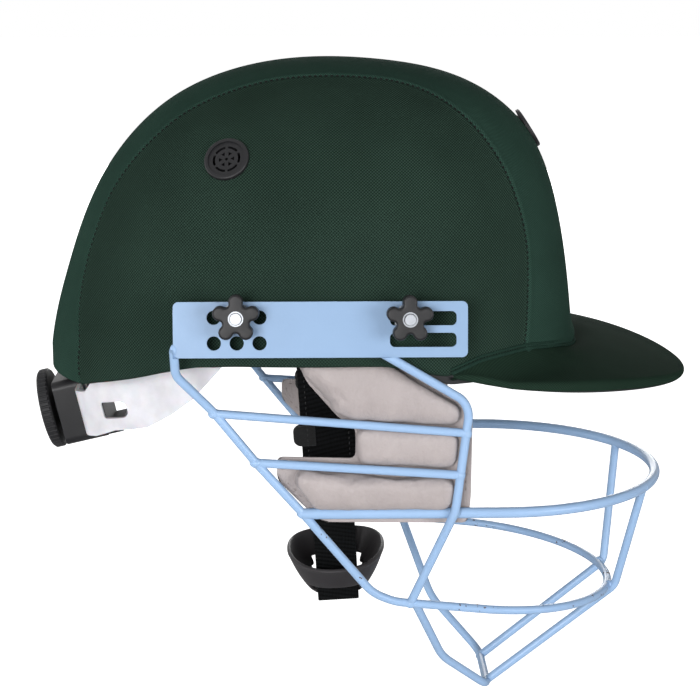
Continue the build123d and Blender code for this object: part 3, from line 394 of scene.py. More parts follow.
def panel(left, right, count, both_seams):
    """Rows of points on the dome between two lines, closer together beside a seam."""
    rows, heights = [], []
    for k, (a, b) in enumerate(zip(left, right)):
        line = on_dome(a + (b - a) * np.linspace(0, 1, 48)[:, None])
        size = np.linalg.norm(np.diff(line, axis=0), axis=1).sum()
        near = np.array(SEAM_STEPS)
        if size < NARROW_PANEL:
            at = np.linspace(0, size, count)
        elif both_seams:
            middle = np.linspace(near[-1], size - near[-1], count - 2 * len(near) + 2)[1:-1]
            at = np.r_[near, middle, size - near[::-1]]
        else:
            at = np.r_[near, np.linspace(near[-1], size, count - len(near) + 1)[1:]]
        row = resampled(line, at / max(size, 1e-9))
        edge = np.minimum(at, size - at) if both_seams else at
        rows.append(row)
        heights.append(seam_profile(edge, k / (len(left) - 1)))
    return np.array(rows), np.array(heights)


def raised(rows, heights):
    """Rows moved along the dome's own direction by heights."""
    rays = rows.copy()
    rays[..., 2] -= np.minimum(rows[..., 2], RAY_TOP)
    return rows + heights[..., None] * rays / np.linalg.norm(rays, axis=-1, keepdims=True)


def turned_hem(edge):
    """Lines of a hem that turns in under an edge."""
    level = edge * (1, 1, 0)
    inward = -level / np.linalg.norm(level, axis=1, keepdims=True)
    return [edge + inward * a - np.array((0, 0, b)) for a, b in HEM]


def metres(rows):
    """Rows of points or lengths as vectors in metres."""
    return [[Vector(point) * MM for point in row] for row in rows]


def cut_hole(bm, point, way, radius):
    """Delete the faces that lie under the flange of a vent."""
    point, way = Vector(point) * MM, Vector(way).normalized()
    near = [v for v in bm.verts if (v.co - point).length < VENT_DEPTH * MM]
    inside = {v for v in near if (v.co - point).cross(way).length < radius * MM}
    doomed = [f for f in bm.faces if all(v in inside for v in f.verts)]
    bmesh.ops.delete(bm, geom=doomed, context="FACES")


# Materials


def connect(node, inputs):
    """Give a node's inputs their values, or links from sockets or from nodes' first outputs."""
    pairs = inputs.items() if isinstance(inputs, dict) else enumerate(inputs)
    for key, value in pairs:
        if isinstance(value, bpy.types.Node):
            value = value.outputs[0]
        if isinstance(value, bpy.types.NodeSocket):
            node.id_data.links.new(value, node.inputs[key])
        else:
            node.inputs[key].default_value = value


def add_node(material, kind, inputs=(), **settings):
    """Node of a material or a world, with its settings, its values and its links."""
    node = material.node_tree.nodes.new(f"ShaderNode{kind}")
    for key, value in settings.items():
        setattr(node, key, value)
    connect(node, inputs)
    return node


def new_material(name, **values):
    """Material with a Principled shader whose sockets hold the given values."""
    material = bpy.data.materials.new(name)
    material.use_nodes = True
    shader = material.node_tree.nodes["Principled BSDF"]
    connect(shader, {key.replace("_", " "): value for key, value in values.items()})
    return material, shader


def shade(tint, gain=1.0):
    """Colour with full alpha, made darker or lighter by a gain."""
    return (*(min(1, v * gain) for v in tint), 1.0)


def waves(material, places):
    """Sine waves of period one along the first two axes of some places."""
    axes = add_node(material, "SeparateXYZ", [places])
    turns = [add_node(material, "Math", (axes.outputs[k], 2 * math.pi), operation="MULTIPLY")
             for k in (0, 1)]
    return [add_node(material, "Math", [turn], operation="SINE") for turn in turns]


def threads(material, pitch):
    """Height of crossing threads, from 0 in the holes between them to 1 on top."""
    place = add_node(material, "TexCoord").outputs["UV"]
    scaled = add_node(material, "Mapping", {"Vector": place, "Scale": (1 / pitch,) * 3})
    product = add_node(material, "Math", waves(material, scaled), operation="MULTIPLY")
    return add_node(material, "Math", (product, 0.5, 0.5), operation="MULTIPLY_ADD")


def blotches(material, size, detail=2.0):
    """Soft noise whose patches are about size wide."""
    place = add_node(material, "TexCoord").outputs["Object"]
    return add_node(material, "TexNoise", {"Vector": place, "Scale": 1 / size, "Detail": detail})


def knitted_polyester(name, tint, pitch, contrast):
    """Stretch polyester knit: matt, with dark holes between its threads, partly the open knit and
    partly painted shade, and a faint sheen.
    """
    material, shader = new_material(name, Roughness=0.95, Specular_IOR_Level=0.02)
    height = threads(material, pitch)
    wear = add_node(material, "Math", (blotches(material, 35 * MM), 0.5, 0.75),
                    operation="MULTIPLY_ADD")
    # Darker where the threads dip: partly the open knit, partly painted shade in the holes
    cloth = add_node(material, "Mix", {0: height, 6: shade(tint, 1 - contrast), 7: shade(tint)},
                     data_type="RGBA")
    worn = add_node(material, "VectorMath", {0: cloth.outputs[2], "Scale": wear},
                    operation="SCALE")
    bump = add_node(material, "Bump",
                    {"Height": height, "Distance": 0.25 * MM, "Strength": 0.7})
    connect(shader, {"Base Color": worn, "Normal": bump})
    return material


CHIPS_TOP, NO_CHIPS, SOME_CHIPS = -60 * MM, 1.2, 0.97
# The bars take the plates' paint made lighter by this gain: a painted highlight of the round wires
BAR_HIGHLIGHT_GAIN = 1.25


def enamel_paint(name, tint, rust, chips, roughness=0.27):
    """Dipped enamel on steel: smooth and glossy, slightly uneven, chipped to rust low down."""
    material, shader = new_material(name, Specular_IOR_Level=0.22)
    patches = add_node(material, "Math", (blotches(material, 18 * MM), 0.55),
                       operation="MULTIPLY")
    level = add_node(material, "Math", (blotches(material, 2.4 * MM, 3.0), patches),
                     operation="ADD")
    place = add_node(material, "SeparateXYZ",
                     [add_node(material, "TexCoord").outputs["Object"]])
    low = add_node(material, "MapRange", {
        "Value": place.outputs[2], "From Min": CHIPS_TOP, "From Max": CHIPS_TOP - 15 * MM})
    chipped = add_node(material, "MapRange",
                       {"Value": level, "From Min": chips, "From Max": chips + 0.012})
    mask = add_node(material, "Math", (chipped, low), operation="MULTIPLY")
    soft = add_node(material, "Mix", {
        0: blotches(material, 30 * MM), 6: shade(tint, 0.93), 7: shade(tint, 1.04)},
        data_type="RGBA")
    paint = add_node(material, "Mix", {0: mask, 6: soft.outputs[2], 7: shade(rust)},
                     data_type="RGBA")
    dull = add_node(material, "Math", (mask, 0.5, roughness), operation="MULTIPLY_ADD")
    uneven = add_node(material, "Math", (mask, -0.8, blotches(material, 1.6 * MM)),
                      operation="MULTIPLY_ADD")
    bump = add_node(material, "Bump",
                    {"Height": uneven, "Distance": 0.12 * MM, "Strength": 0.35})
    connect(shader, {"Base Color": paint.outputs[2], "Roughness": dull, "Normal": bump})
    return material


def soft_leather(name, tint):
    """Thin coated leather over foam: matt, creased, with painted shade along its creases and a fine
    pressed grain.
    """
    material, shader = new_material(name, Roughness=0.5, Specular_IOR_Level=0.4,
                                    Sheen_Weight=0.05)
    place = add_node(material, "TexCoord").outputs["Object"]
    creases = add_node(material, "Mapping", {"Vector": place, "Scale": (1, 1, 0.4)})
    fold = add_node(material, "TexNoise", {
        "Vector": creases, "Scale": 1 / (2.6 * MM), "Detail": 4.0, "Distortion": 0.6})
    grain = add_node(material, "TexVoronoi",
                     {"Vector": place, "Scale": 1 / (1.1 * MM)}).outputs["Distance"]
    stain = add_node(material, "Mix", {
        0: blotches(material, 14 * MM, 3.0), 6: shade(tint, 0.8), 7: shade(tint, 1.08)},
        data_type="RGBA")
    # Darker along the creases: painted crease shade
    line = add_node(material, "Math", (fold, 0.35), operation="MULTIPLY")
    skin = add_node(material, "Mix", {0: line, 6: stain.outputs[2], 7: shade(tint, 0.62)},
                    data_type="RGBA")
    height = add_node(material, "Math", (grain, 0.3, fold), operation="MULTIPLY_ADD")
    bump = add_node(material, "Bump", {"Height": height, "Distance": 0.5 * MM, "Strength": 0.8})
    connect(shader, {"Base Color": skin.outputs[2], "Normal": bump})
    return material


def strap_webbing(name, tint):
    """Woven nylon strap: ribs across it, with a slight gloss on each rib, a painted sheen on the
    ribs' tops and painted shade between them.
    """
    material, shader = new_material(name, Roughness=0.6, Specular_IOR_Level=0.06)
    place = add_node(material, "TexCoord").outputs["UV"]
    turned = add_node(material, "Mapping", {
        "Vector": place, "Rotation": (0, 0, math.radians(8)),
        "Scale": (1 / (1.5 * MM), 1 / (2.4 * MM), 1)})
    cord, rib = waves(material, turned)
    woven = add_node(material, "Math", (cord, 0.3, rib), operation="MULTIPLY_ADD")
    height = add_node(material, "Math", (woven, 0.4, 0.5), operation="MULTIPLY_ADD")
    # Rib tops painted much lighter and the grooves much darker: painted sheen and painted shade
    cloth = add_node(material, "Mix", {0: height, 6: shade(tint, 0.35), 7: shade(tint, 1.7)},
                     data_type="RGBA")
    bump = add_node(material, "Bump", {"Height": height, "Distance": 0.3 * MM, "Strength": 0.8})
    connect(shader, {"Base Color": cloth.outputs[2], "Normal": bump})
    return material


def moulded_plastic(name, tint, roughness, grain, scatter=0.0):
    """Moulded plastic or rubber, or thread: satin, with a faint texture and worn, paler places."""
    material, shader = new_material(name, Roughness=roughness, Specular_IOR_Level=0.25,
                                    Subsurface_Weight=scatter, Subsurface_Scale=2 * MM)
    worn = add_node(material, "Mix", {
        0: blotches(material, 9 * MM, 4.0), 6: shade(tint, 0.8), 7: shade(tint, 1.25)},
        data_type="RGBA")
    bump = add_node(material, "Bump", {
        "Height": blotches(material, grain, 3.0), "Distance": 0.08 * MM, "Strength": 0.5})
    connect(shader, {"Base Color": worn.outputs[2], "Normal": bump})
    return material


def plated_steel(name, tint):
    """Zinc plated steel: bright, with turned marks and dull spots."""
    material, shader = new_material(name, Metallic=1.0, Base_Color=shade(tint))
    dull = add_node(material, "Math", (blotches(material, 1.5 * MM, 3.0), 0.35, 0.18),
                    operation="MULTIPLY_ADD")
    bump = add_node(material, "Bump", {
        "Height": blotches(material, 0.8 * MM), "Distance": 0.05 * MM, "Strength": 0.4})
    connect(shader, {"Roughness": dull, "Normal": bump})
    return material


def moulded_foam(name, tint):
    """Expanded foam: matt, made of small beads pressed together."""
    material, shader = new_material(name, Roughness=0.9, Specular_IOR_Level=0.2)
    place = add_node(material, "TexCoord").outputs["Object"]
    beads = add_node(material, "TexVoronoi",
                     {"Vector": place, "Scale": 1 / (2.8 * MM)}).outputs["Distance"]
    foam = add_node(material, "Mix", {0: beads, 6: shade(tint, 1.5), 7: shade(tint, 0.5)},
                    data_type="RGBA")
    bump = add_node(material, "Bump", {"Height": beads, "Distance": 0.3 * MM, "Strength": 0.6})
    connect(shader, {"Base Color": foam.outputs[2], "Normal": bump})
    return material


def make_finishes(scene):
    """All the materials, by the names of their finishes."""
    cloth, grille, soft = scene.helmet_cloth, scene.helmet_grille, scene.helmet_padding
    paint, rust = list(grille.paint_colour), list(grille.rust_colour)
    # Lighter copy of the paint for the bars, as a painted highlight
    bars = [v * BAR_HIGHLIGHT_GAIN for v in paint]
    leather, web = list(soft.leather_colour), list(soft.webbing_colour)
    FINISHES.update({
        "cloth_side": knitted_polyester("Knitted polyester side", list(cloth.side_colour),
                                        cloth.weave, 0.88),
        "cloth_strip": knitted_polyester("Knitted polyester crown", list(cloth.strip_colour),
                                         cloth.fine_weave, 0.8),
        "cloth_peak": knitted_polyester("Knitted polyester peak", list(cloth.peak_colour),
                                        cloth.fine_weave, 0.6),
        "grille_paint": enamel_paint("Blue enamel", bars, rust, NO_CHIPS),
        "plate_paint": enamel_paint("Blue enamel plate", paint, rust, NO_CHIPS),
        "bar_paint": enamel_paint("Blue enamel chipped", bars, rust, SOME_CHIPS),
        "cheek_leather": soft_leather("Coated leather", leather),
        "webbing": strap_webbing("Nylon webbing", web),
        "strap_tab": soft_leather("Dark leather", [v * 0.8 for v in web]),
        "black_plastic": moulded_plastic("Black nylon", linear("#1A1A1C"), 0.42, 0.5 * MM),
        "cup_plastic": moulded_plastic("Dark brown rubber", linear("#2A282A"), 0.5, 0.8 * MM),
        "dial_plastic": moulded_plastic("Black rubbery nylon", linear("#1D1D1F"), 0.6, 0.4 * MM),
        "shell_plastic": moulded_plastic("Black ABS", linear("#17181A"), 0.5, 1.2 * MM),
        "band_plastic": moulded_plastic("White polyethylene", linear("#CCCBD0"), 0.38, 1.5 * MM,
                                        0.25),
        "spacer_plastic": moulded_plastic("Black rubber", linear("#161616"), 0.8, 0.6 * MM),
        "zinc_steel": plated_steel("Zinc plated steel", linear("#8C8F94")),
        "liner_foam": moulded_foam("Moulded foam", linear("#2A2B2E")),
        "comfort_foam": knitted_polyester("Brushed lining", linear("#2C2D31"), 1.4 * MM, 0.5),
        "seam_thread": moulded_plastic("Dark thread", linear("#040605"), 0.9, 0.5 * MM),
        "stitch": moulded_plastic("Waxed thread", [v * 0.75 for v in leather], 0.7, 0.5 * MM),
    })


# Rigid pieces, and the cloth over the shell and the peak

SHARP_ANGLE, JOIN_GAP = math.radians(32), 0.005 * MM


def both_sides(*names):
    """Names of nodes that the helmet has at its right and at its left."""
    return tuple(f"{name}_{side}" for name in names for side, _ in SIDES)


FINISH_NODES = {
    "grille_paint": ("upper_ring", "chin_hoop",
                     *both_sides("front_bar", "middle_rail", "nose_bar")),
    "bar_paint": ("lower_ring",),
    "plate_paint": both_sides("side_plate"),
    "shell_plastic": ("peak_board",),
    "black_plastic": (*both_sides("side_vent"), "front_vent",
                      *both_sides("knob_front", "knob_rear"), "housing_cover", "dial_housing"),
    "dial_plastic": ("dial_knob",),
    "zinc_steel": ("guard_bolts", "guard_washers",
                   *both_sides("knob_insert_front", "knob_insert_rear"), "tongue_rivet",
                   "strap_anchors"),
    "spacer_plastic": ("guard_spacers",),
    "band_plastic": (*both_sides("band_arm"), "dial_pinion"),
}


def drop_normals(mesh):
    """Remove the normals that came with a solid, which would hide smooth shading."""
    if "custom_normal" in mesh.attributes:
        mesh.attributes.remove(mesh.attributes["custom_normal"])


class HELMET_OT_solids(bpy.types.Operator):
    """Finish the rigid solids: grille, plates, fixings, peak board, vents, band and dial"""

    bl_idname = "helmet.solids"
    bl_label = "Rigid pieces"

    def execute(self, context):
        for name, nodes in FINISH_NODES.items():
            for node in nodes:
                obj = NODES[node]
                obj.data.materials.clear()
                obj.data.materials.append(FINISHES[name])
                drop_normals(obj.data)
                obj.data.shade_smooth()
                add_modifier(obj, "Weld", "WELD", merge_threshold=JOIN_GAP)
                add_modifier(obj, "Edges", "EDGE_SPLIT", split_angle=SHARP_ANGLE)
        return {"FINISHED"}


class HELMET_OT_brow(bpy.types.Operator):
    """Shell and impact liner, with the straighter brow that their cover has"""

    bl_idname = "helmet.brow"
    bl_label = "Shell and liner"

    def execute(self, context):
        for name, finish in (("shell", "shell_plastic"), ("impact_liner", "liner_foam")):
            bm = bmesh.new()
            bm.from_mesh(NODES[name].data)
            bmesh.ops.remove_doubles(bm, verts=bm.verts, dist=JOIN_GAP)
            points = np.array([vertex.co for vertex in bm.verts]) / MM
            middle, share = reach(points)
            points = middle + (points - middle) * share / reach(points, SOLID_PROFILE)[1]
            points = nape_raised(points)
            for vertex, point in zip(bm.verts, points):
                vertex.co = Vector(point) * MM
            bm.normal_update()
            obj = new_object(f"{name}_body", bm, "helmet", finish, (name,))
            drop_normals(obj.data)
            add_modifier(obj, "Edges", "EDGE_SPLIT", split_angle=SHARP_ANGLE)
        return {"FINISHED"}


class HELMET_OT_cover(bpy.types.Operator):
    """Crown strip and side panels of the cover cloth, with their seams and turned hems"""

    bl_idname = "helmet.cover"
    bl_label = "Cover cloth"

    def execute(self, context):
        settings = context.scene.helmet_cloth
        seam = on_dome(nape_raised(smooth_line(SEAM, 241)))
        rim = on_dome(nape_raised(smooth_line(RIM, 241)))
        rows, heights = panel(seam, rim, 64, False)
        turned = turned_hem(rows[:, -1])
        flat = np.stack([side_distance(rows, 0), side_distance(rows, 2)], -1)
        lower = np.stack([flat[:, -1] - (0, HEM_STEP * (k + 1)) for k in range(len(turned))], 1)
        rows = np.concatenate([raised(rows, heights), np.stack(turned, 1)], 1)
        flat = np.concatenate([flat, lower], 1)
        for side, way in SIDES:
            bm = grid_sheet(metres(rows), metres(flat), closed=True)
            cut_hole(bm, *SIDE_VENT)
            if way > 0:
                mirrored_mesh(bm)
            outward(bm, Vector((0, 0, 0)))
            obj = new_object(f"side_cloth_{side}", bm, "helmet", "cloth_side",
                             (f"side_cover_{side}",))
            add_modifier(obj, "Cloth", "SOLIDIFY", thickness=settings.thickness, offset=-1)
        self.crown(settings, seam)
        self.seam_thread(seam)
        return {"FINISHED"}

    @staticmethod
    def seam_thread(seam):
        """Stitches that show in the grooves beside the crown strip."""
        spacing, depth, half_size = 2.5, 0.1, (0.8 * MM, 0.42 * MM, 0.4 * MM)
        mirror = Matrix.Diagonal((1, -1, 1, 1))
        size = np.linalg.norm(np.diff(seam, axis=0), axis=1).sum()
        places = resampled(seam, np.linspace(0.004, 0.996, int(size / spacing)))
        bm = bmesh.new()
        for k in range(1, len(places) - 1):
            way = Vector(places[k + 1] - places[k - 1]).normalized()
            turn = way.to_track_quat("X", "Z").to_matrix().to_4x4()
            place = Vector(on_dome(places[k], -depth)) * MM
            add_bead(bm, mirror @ place, mirror @ turn, half_size)
            add_bead(bm, place, turn, half_size)
        bmesh.ops.recalc_face_normals(bm, faces=bm.faces)
        new_object("seam_stitches", bm, "helmet", "seam_thread")

    def crown(self, settings, seam):
        """Strip from the nape over the top to the root of the peak."""
        rows, heights = panel(seam, seam * (1, -1, 1), 57, True)
        last = rows[-1]
        front = ROOT[3:] + tuple((x, -y, z) for x, y, z in reversed(ROOT[3:-1]))
        steps = np.r_[0, np.cumsum(np.linalg.norm(np.diff(last, axis=0), axis=1))]
        root = resampled(smooth_line(front, 200), steps / steps[-1])
        below = [on_dome(last + (root - last) * share) for share in (0.2, 0.4, 0.6, 0.8, 1)]
        rows = np.concatenate([rows, below])
        heights = np.concatenate([heights, np.repeat(heights[-1:], len(below), 0)])
        middle = rows[:, rows.shape[1] // 2]
        along = np.r_[0, np.cumsum(np.linalg.norm(np.diff(middle, axis=0), axis=1))]
        roll, roll_place, roll_width = 1.3, 5, 4.0
        heights += (roll * np.exp(-((along[-1] - along - roll_place) / roll_width) ** 2))[:, None]
        widths = np.linalg.norm(np.diff(rows, axis=1), axis=2)
        across = np.concatenate([np.zeros((len(rows), 1)), np.cumsum(widths, axis=1)], 1)
        across -= across[:, -1:] / 2
        flat = np.stack([across, np.repeat(along[:, None], rows.shape[1], 1)], -1)
        body = raised(rows, heights)
        count = len(HEM)
        points = np.concatenate([turned_hem(rows[0])[::-1], body, turned_hem(rows[-1])])
        shift = np.arange(1, count + 1)[:, None, None] * np.array((0, HEM_STEP))
        flat = np.concatenate([(flat[0] - shift)[::-1], flat, flat[-1] + shift])
        bm = grid_sheet(metres(points), metres(flat), closed=True)
        cut_hole(bm, *FRONT_VENT)
        outward(bm, Vector((0, 0, 0)))
        obj = new_object("crown_cloth", bm, "helmet", "cloth_strip", ("crown_cover",))
        add_modifier(obj, "Cloth", "SOLIDIFY", thickness=settings.thickness, offset=-1)


PEAK_TIP_X, PEAK_TIP_Z, PEAK_HALF_WIDTH, PEAK_WALL = 180.0, -13.8, 93.0, 3.5
PEAK_SLOPE, PEAK_ARCH, PEAK_ARCH_X, PEAK_ARCH_LOSS = 0.235, 0.001181, 100, 0.0000113
PEAK_SKIN, PEAK_SWELL, PEAK_SWELL_POWER, PEAK_FOOT = 0.15, 2.6, 0.8, 16
PEAK_ROUND_X = PEAK_TIP_X - PEAK_HALF_WIDTH
# Cords along the peak's root: how far each stands off the dome, its rise and its radius
PEAK_CORDS = (("peak_piping", 0.7, 0.5, 0.85), ("peak_hem", 0.25, 2.3, 0.6))


def peak_top(x, y):
    """Height of the top face of the peak: it slopes down, and its arch flattens forwards."""
    arch = PEAK_ARCH - PEAK_ARCH_LOSS * (x - PEAK_ARCH_X)
    return PEAK_TIP_Z + PEAK_SLOPE * (PEAK_TIP_X - x) - y * y * arch + PEAK_SKIN


def peak_crown(x):
    """How far the padded top of the peak swells above its board."""
    share = min(max((PEAK_TIP_X - x) / PEAK_HALF_WIDTH, 0), 1)
    return PEAK_SWELL * math.sin(math.pi * share) ** PEAK_SWELL_POWER


class HELMET_OT_peak(bpy.types.Operator):
    """Cloth sleeve of the peak, rising to the shell at its root, and the piping of its seam"""

    bl_idname = "helmet.peak"
    bl_label = "Peak cloth"

    def execute(self, context):
        columns = 121
        line = ROOT + tuple((x, -y, z) for x, y, z in reversed(ROOT[:-1]))
        root = on_dome(smooth_line(line, columns), 0.2)
        edge = [(61.4, 90.5), (68, 91.2), (76, 92.2), (PEAK_ROUND_X, PEAK_HALF_WIDTH)]
        arc = [(PEAK_ROUND_X + PEAK_HALF_WIDTH * math.sin(a), PEAK_HALF_WIDTH * math.cos(a))
               for a in np.linspace(0, math.pi, 90)[1:-1]]
        outline = edge + arc + [(x, -y) for x, y in reversed(edge)]
        outline = resampled(np.array([(x, y, 0) for x, y in outline]), np.linspace(0, 1, columns))
        rows, flat = [], []
        for start, end in zip(root, outline):
            way = np.array((max(end[0] - PEAK_ROUND_X, 0), end[1]))
            way = way / max(np.linalg.norm(way), 1e-9)
            row = self.sleeve_row(start, end, way)
            rows.append(row)
            steps = np.linalg.norm(np.diff(np.array(row), axis=0), axis=1)
            along = np.r_[0, np.cumsum(steps)]
            flat.append(start[:2] + way * along[:, None])
        bm = grid_sheet(metres(np.array(rows)), metres(flat), closed=True)
        self.face_up(bm)
        obj = new_object("peak_cloth", bm, "helmet", "cloth_peak", ("peak_cover",))
        add_modifier(obj, "Cloth", "SOLIDIFY", thickness=0.6 * MM, offset=-1)
        for name, stand, rise, radius in PEAK_CORDS:
            cord = tube(on_dome(smooth_line(line, 90), stand) + (0, 0, rise), radius)
            new_object(name, cord, "helmet", "cloth_strip")
        return {"FINISHED"}

    @staticmethod
    def sleeve_row(start, end, way):
        """Line over the top of the peak from its root, round its edge and back underneath."""
        half = (PEAK_WALL + peak_crown(end[0])) / 2
        stop = end[:2] - way * half
        lift = start[2] - peak_top(start[0], start[1]) - peak_crown(start[0])
        size = np.linalg.norm(stop - start[:2])
        row = []
        for share in np.r_[0, 0.02, 0.05, np.linspace(0.09, 1, 26)]:
            x, y = start[:2] + (stop - start[:2]) * share
            fall = max(0.0, 1 - share * size / PEAK_FOOT) ** 2
            row.append((x, y, peak_top(x, y) + peak_crown(x) + lift * fall))
        middle = (row[-1][2] + peak_top(*stop) - PEAK_WALL) / 2
        half_height = row[-1][2] - middle
        for turn in np.linspace(0, math.pi, 9)[1:-1]:
            x, y = stop + way * half * math.sin(turn)
            row.append((x, y, middle + half_height * math.cos(turn)))
        for share in np.linspace(1, 0.04, 18):
            x, y = start[:2] + (stop - start[:2]) * share
            row.append((x, y, peak_top(x, y) - PEAK_WALL))
        return row

    @staticmethod
    def face_up(bm):
        """Turn the sleeve so that its top looks up."""
        total = 0
        for face in bm.faces:
            x, y, z = face.calc_center_median() / MM
            upper = z > peak_top(x, y) - PEAK_WALL / 2
            total += face.normal.z * face.calc_area() * (1 if upper else -1)
        if total < 0:
            bmesh.ops.reverse_faces(bm, faces=bm.faces)
            bm.normal_update()


def tube(points, radius, sides=10):
    """Round bar through points, as a bmesh."""
    data = bpy.data.curves.new("bar", "CURVE")
    data.dimensions = "3D"
    data.bevel_depth = radius * MM
    data.bevel_resolution = sides // 4
    data.use_fill_caps = True
    spline = data.splines.new("POLY")
    spline.points.add(len(points) - 1)
    for point, place in zip(spline.points, points):
        point.co = (*(Vector(place) * MM), 1)
    obj = bpy.data.objects.new("bar", data)
    bpy.context.scene.collection.objects.link(obj)
    mesh = bpy.data.meshes.new_from_object(obj)
    bpy.data.objects.remove(obj)
    bm = bmesh.new()
    bm.from_mesh(mesh)
    bpy.data.meshes.remove(mesh)
    bmesh.ops.remove_doubles(bm, verts=bm.verts, dist=0.001 * MM)
    bmesh.ops.recalc_face_normals(bm, faces=bm.faces)
    return bm


# Cushions and the sheets that they are sewn on

# Plane of the sheet that each cushion is sewn on, the way it swells, and how far its foot drops
CHEEK_PADS = {
    "cheek_pad_upper": (-78.72, -1, 2.6), "cheek_pad_middle": (-78.72, -1, 0.6),
    "cheek_pad_lower": (-78.72, -1, 0.6), "cheek_pad_inner": (-77.18, 1, 0),
}
FILLING = {"quality": 6, "mass": 0.2, "use_pressure": True, "tension_stiffness": 12,
           "compression_stiffness": 12, "bending_stiffness": 0.3}
FILLING_STEPS = 20
# Depth and size of the creases
CHEEK_CREASES, LINING_CREASES = (0.5 * MM, 10 * MM), (0.2 * MM, 14 * MM)


def evaluated(obj):
    """Mesh of an object with its modifiers applied."""
    graph = bpy.context.evaluated_depsgraph_get()
    return bpy.data.meshes.new_from_object(obj.evaluated_get(graph))


def blow_up(obj, pressure, grow):
    """Let the filling's pressure push a cushion's cover outwards, in a short simulation."""
    cloth = obj.modifiers.new("Filling", "CLOTH")
    for key, value in FILLING.items():
        setattr(cloth.settings, key, value)
    cloth.settings.uniform_pressure_force = pressure
    cloth.settings.shrink_min = cloth.settings.shrink_max = -grow
    cloth.settings.effector_weights.gravity = 0
    cloth.collision_settings.use_collision = False
    cloth.point_cache.frame_start = 1
    cloth.point_cache.frame_end = FILLING_STEPS
    for step in range(1, FILLING_STEPS + 1):
        bpy.context.scene.frame_set(step)
    blown = evaluated(obj)
    obj.modifiers.clear()
    obj.data = blown
    bpy.context.scene.frame_set(1)


def filled(node, voxel, swell, pressure, grow, spread=0.0):
    """Cushion cover blown up by its filling from a node's solid, spread sideways, as a bmesh."""
    bm = bmesh.new()
    bm.from_mesh(NODES[node].data)
    bmesh.ops.remove_doubles(bm, verts=bm.verts, dist=JOIN_GAP)
    mesh = bpy.data.meshes.new("cushion")
    bm.to_mesh(mesh)
    bm.free()
    obj = bpy.data.objects.new("cushion", mesh)
    bpy.context.scene.collection.objects.link(obj)
    add_modifier(obj, "Voxels", "REMESH", mode="VOXEL", voxel_size=voxel)
    add_modifier(obj, "Even", "SMOOTH", factor=0.5, iterations=3)
    obj.data = evaluated(obj)
    obj.modifiers.clear()
    for vertex in obj.data.vertices:
        vertex.co += Vector((vertex.normal.x, 0, vertex.normal.z)) * spread
    rest = [v.co.copy() for v in obj.data.vertices]
    blow_up(obj, pressure, grow)
    bm = bmesh.new()
    bm.from_mesh(obj.data)
    for vertex, start in zip(bm.verts, rest):
        way = vertex.co - start
        if way.length > swell:
            vertex.co = start + way * (swell / way.length)
    bpy.data.objects.remove(obj)
    bm.normal_update()
    return bm


def creased(bm, depth, size):
    """Push a cushion's skin in and out in soft, mostly upright creases."""
    bm.normal_update()
    moves = []
    for vertex in bm.verts:
        place = vertex.co / size
        wave = noise.noise(Vector((place.x, place.y, place.z * 0.5)))
        bend = 0.6 * noise.noise(place * 0.7)
        fine = noise.noise(Vector((place.x * 3.4 + bend, place.y * 2, place.z * 0.9 + bend)))
        ridge = 1 - 2 * abs(fine)
        moves.append(vertex.normal * depth * (wave + 0.45 * ridge))
    for vertex, move in zip(bm.verts, moves):
        vertex.co += move


class HELMET_OT_cushions(bpy.types.Operator):
    """Cheek cushions, blown up by their filling, on both sides of the face"""

    bl_idname = "helmet.cushions"
    bl_label = "Cheek cushions"

    def execute(self, context):
        soft = context.scene.helmet_padding
        for name, (base, way, drop) in CHEEK_PADS.items():
            bm = filled(f"{name}_right", soft.voxel, soft.swell, soft.pressure, 0.025,
                        soft.spread)
            creased(bm, *CHEEK_CREASES)
            top, foot = (pick(vertex.co.z for vertex in bm.verts) for pick in (max, min))
            for vertex in bm.verts:
                vertex.co.z -= drop * MM * (top - vertex.co.z) / (top - foot)
                if (vertex.co.y - base * MM) * way < 0:
                    vertex.co.y = base * MM
            bm.normal_update()
            for side, mirrored in SIDES:
                copy = bm.copy()
                if mirrored < 0:
                    mirrored_mesh(copy)
                obj = new_object(f"{name}_leather_{side}", copy, "helmet", "cheek_leather",
                                 (f"{name}_{side}",))
                subdivided(obj)
            bm.free()
        return {"FINISHED"}


class HELMET_OT_lining(bpy.types.Operator):
    """Foam against the head: brow, rear and crown"""

    bl_idname = "helmet.lining"
    bl_label = "Inner foam"

    def execute(self, context):
        for name in ("brow_pad", "rear_pad", "crown_pad"):
            bm = filled(name, 2.2 * MM, 0.9 * MM, 3.0, 0.01)
            creased(bm, *LINING_CREASES)
            obj = new_object(f"{name}_lining", bm, "helmet", "comfort_foam", (name,))
            subdivided(obj)
        return {"FINISHED"}


SHEET_OUTLINE = (
    (-0.239, -0.56), (0.255, -0.572), (0.255, -0.375), (0.15, -0.31), (-0.05, -0.08),
    (-0.125, 0.09), (0.43, 0.07), (0.9, -0.17), (0.99, -0.3), (0.985, -0.84), (0.967, -1),
    (0.05, -0.99), (-0.07, -0.885), (-0.239, -0.71),
)
SHEET_OUT, SHEET_WALL, SHEET_SCALE, SHEET_CORNER = 78.7, 1.5, 72.0, 2.5
STITCH_PITCH, STITCH_INSET, STITCH_END = 3.0 * MM, 2.4 * MM, 3 * MM
STITCH_SIZE = (1.0 * MM, 0.3 * MM, 0.28 * MM)


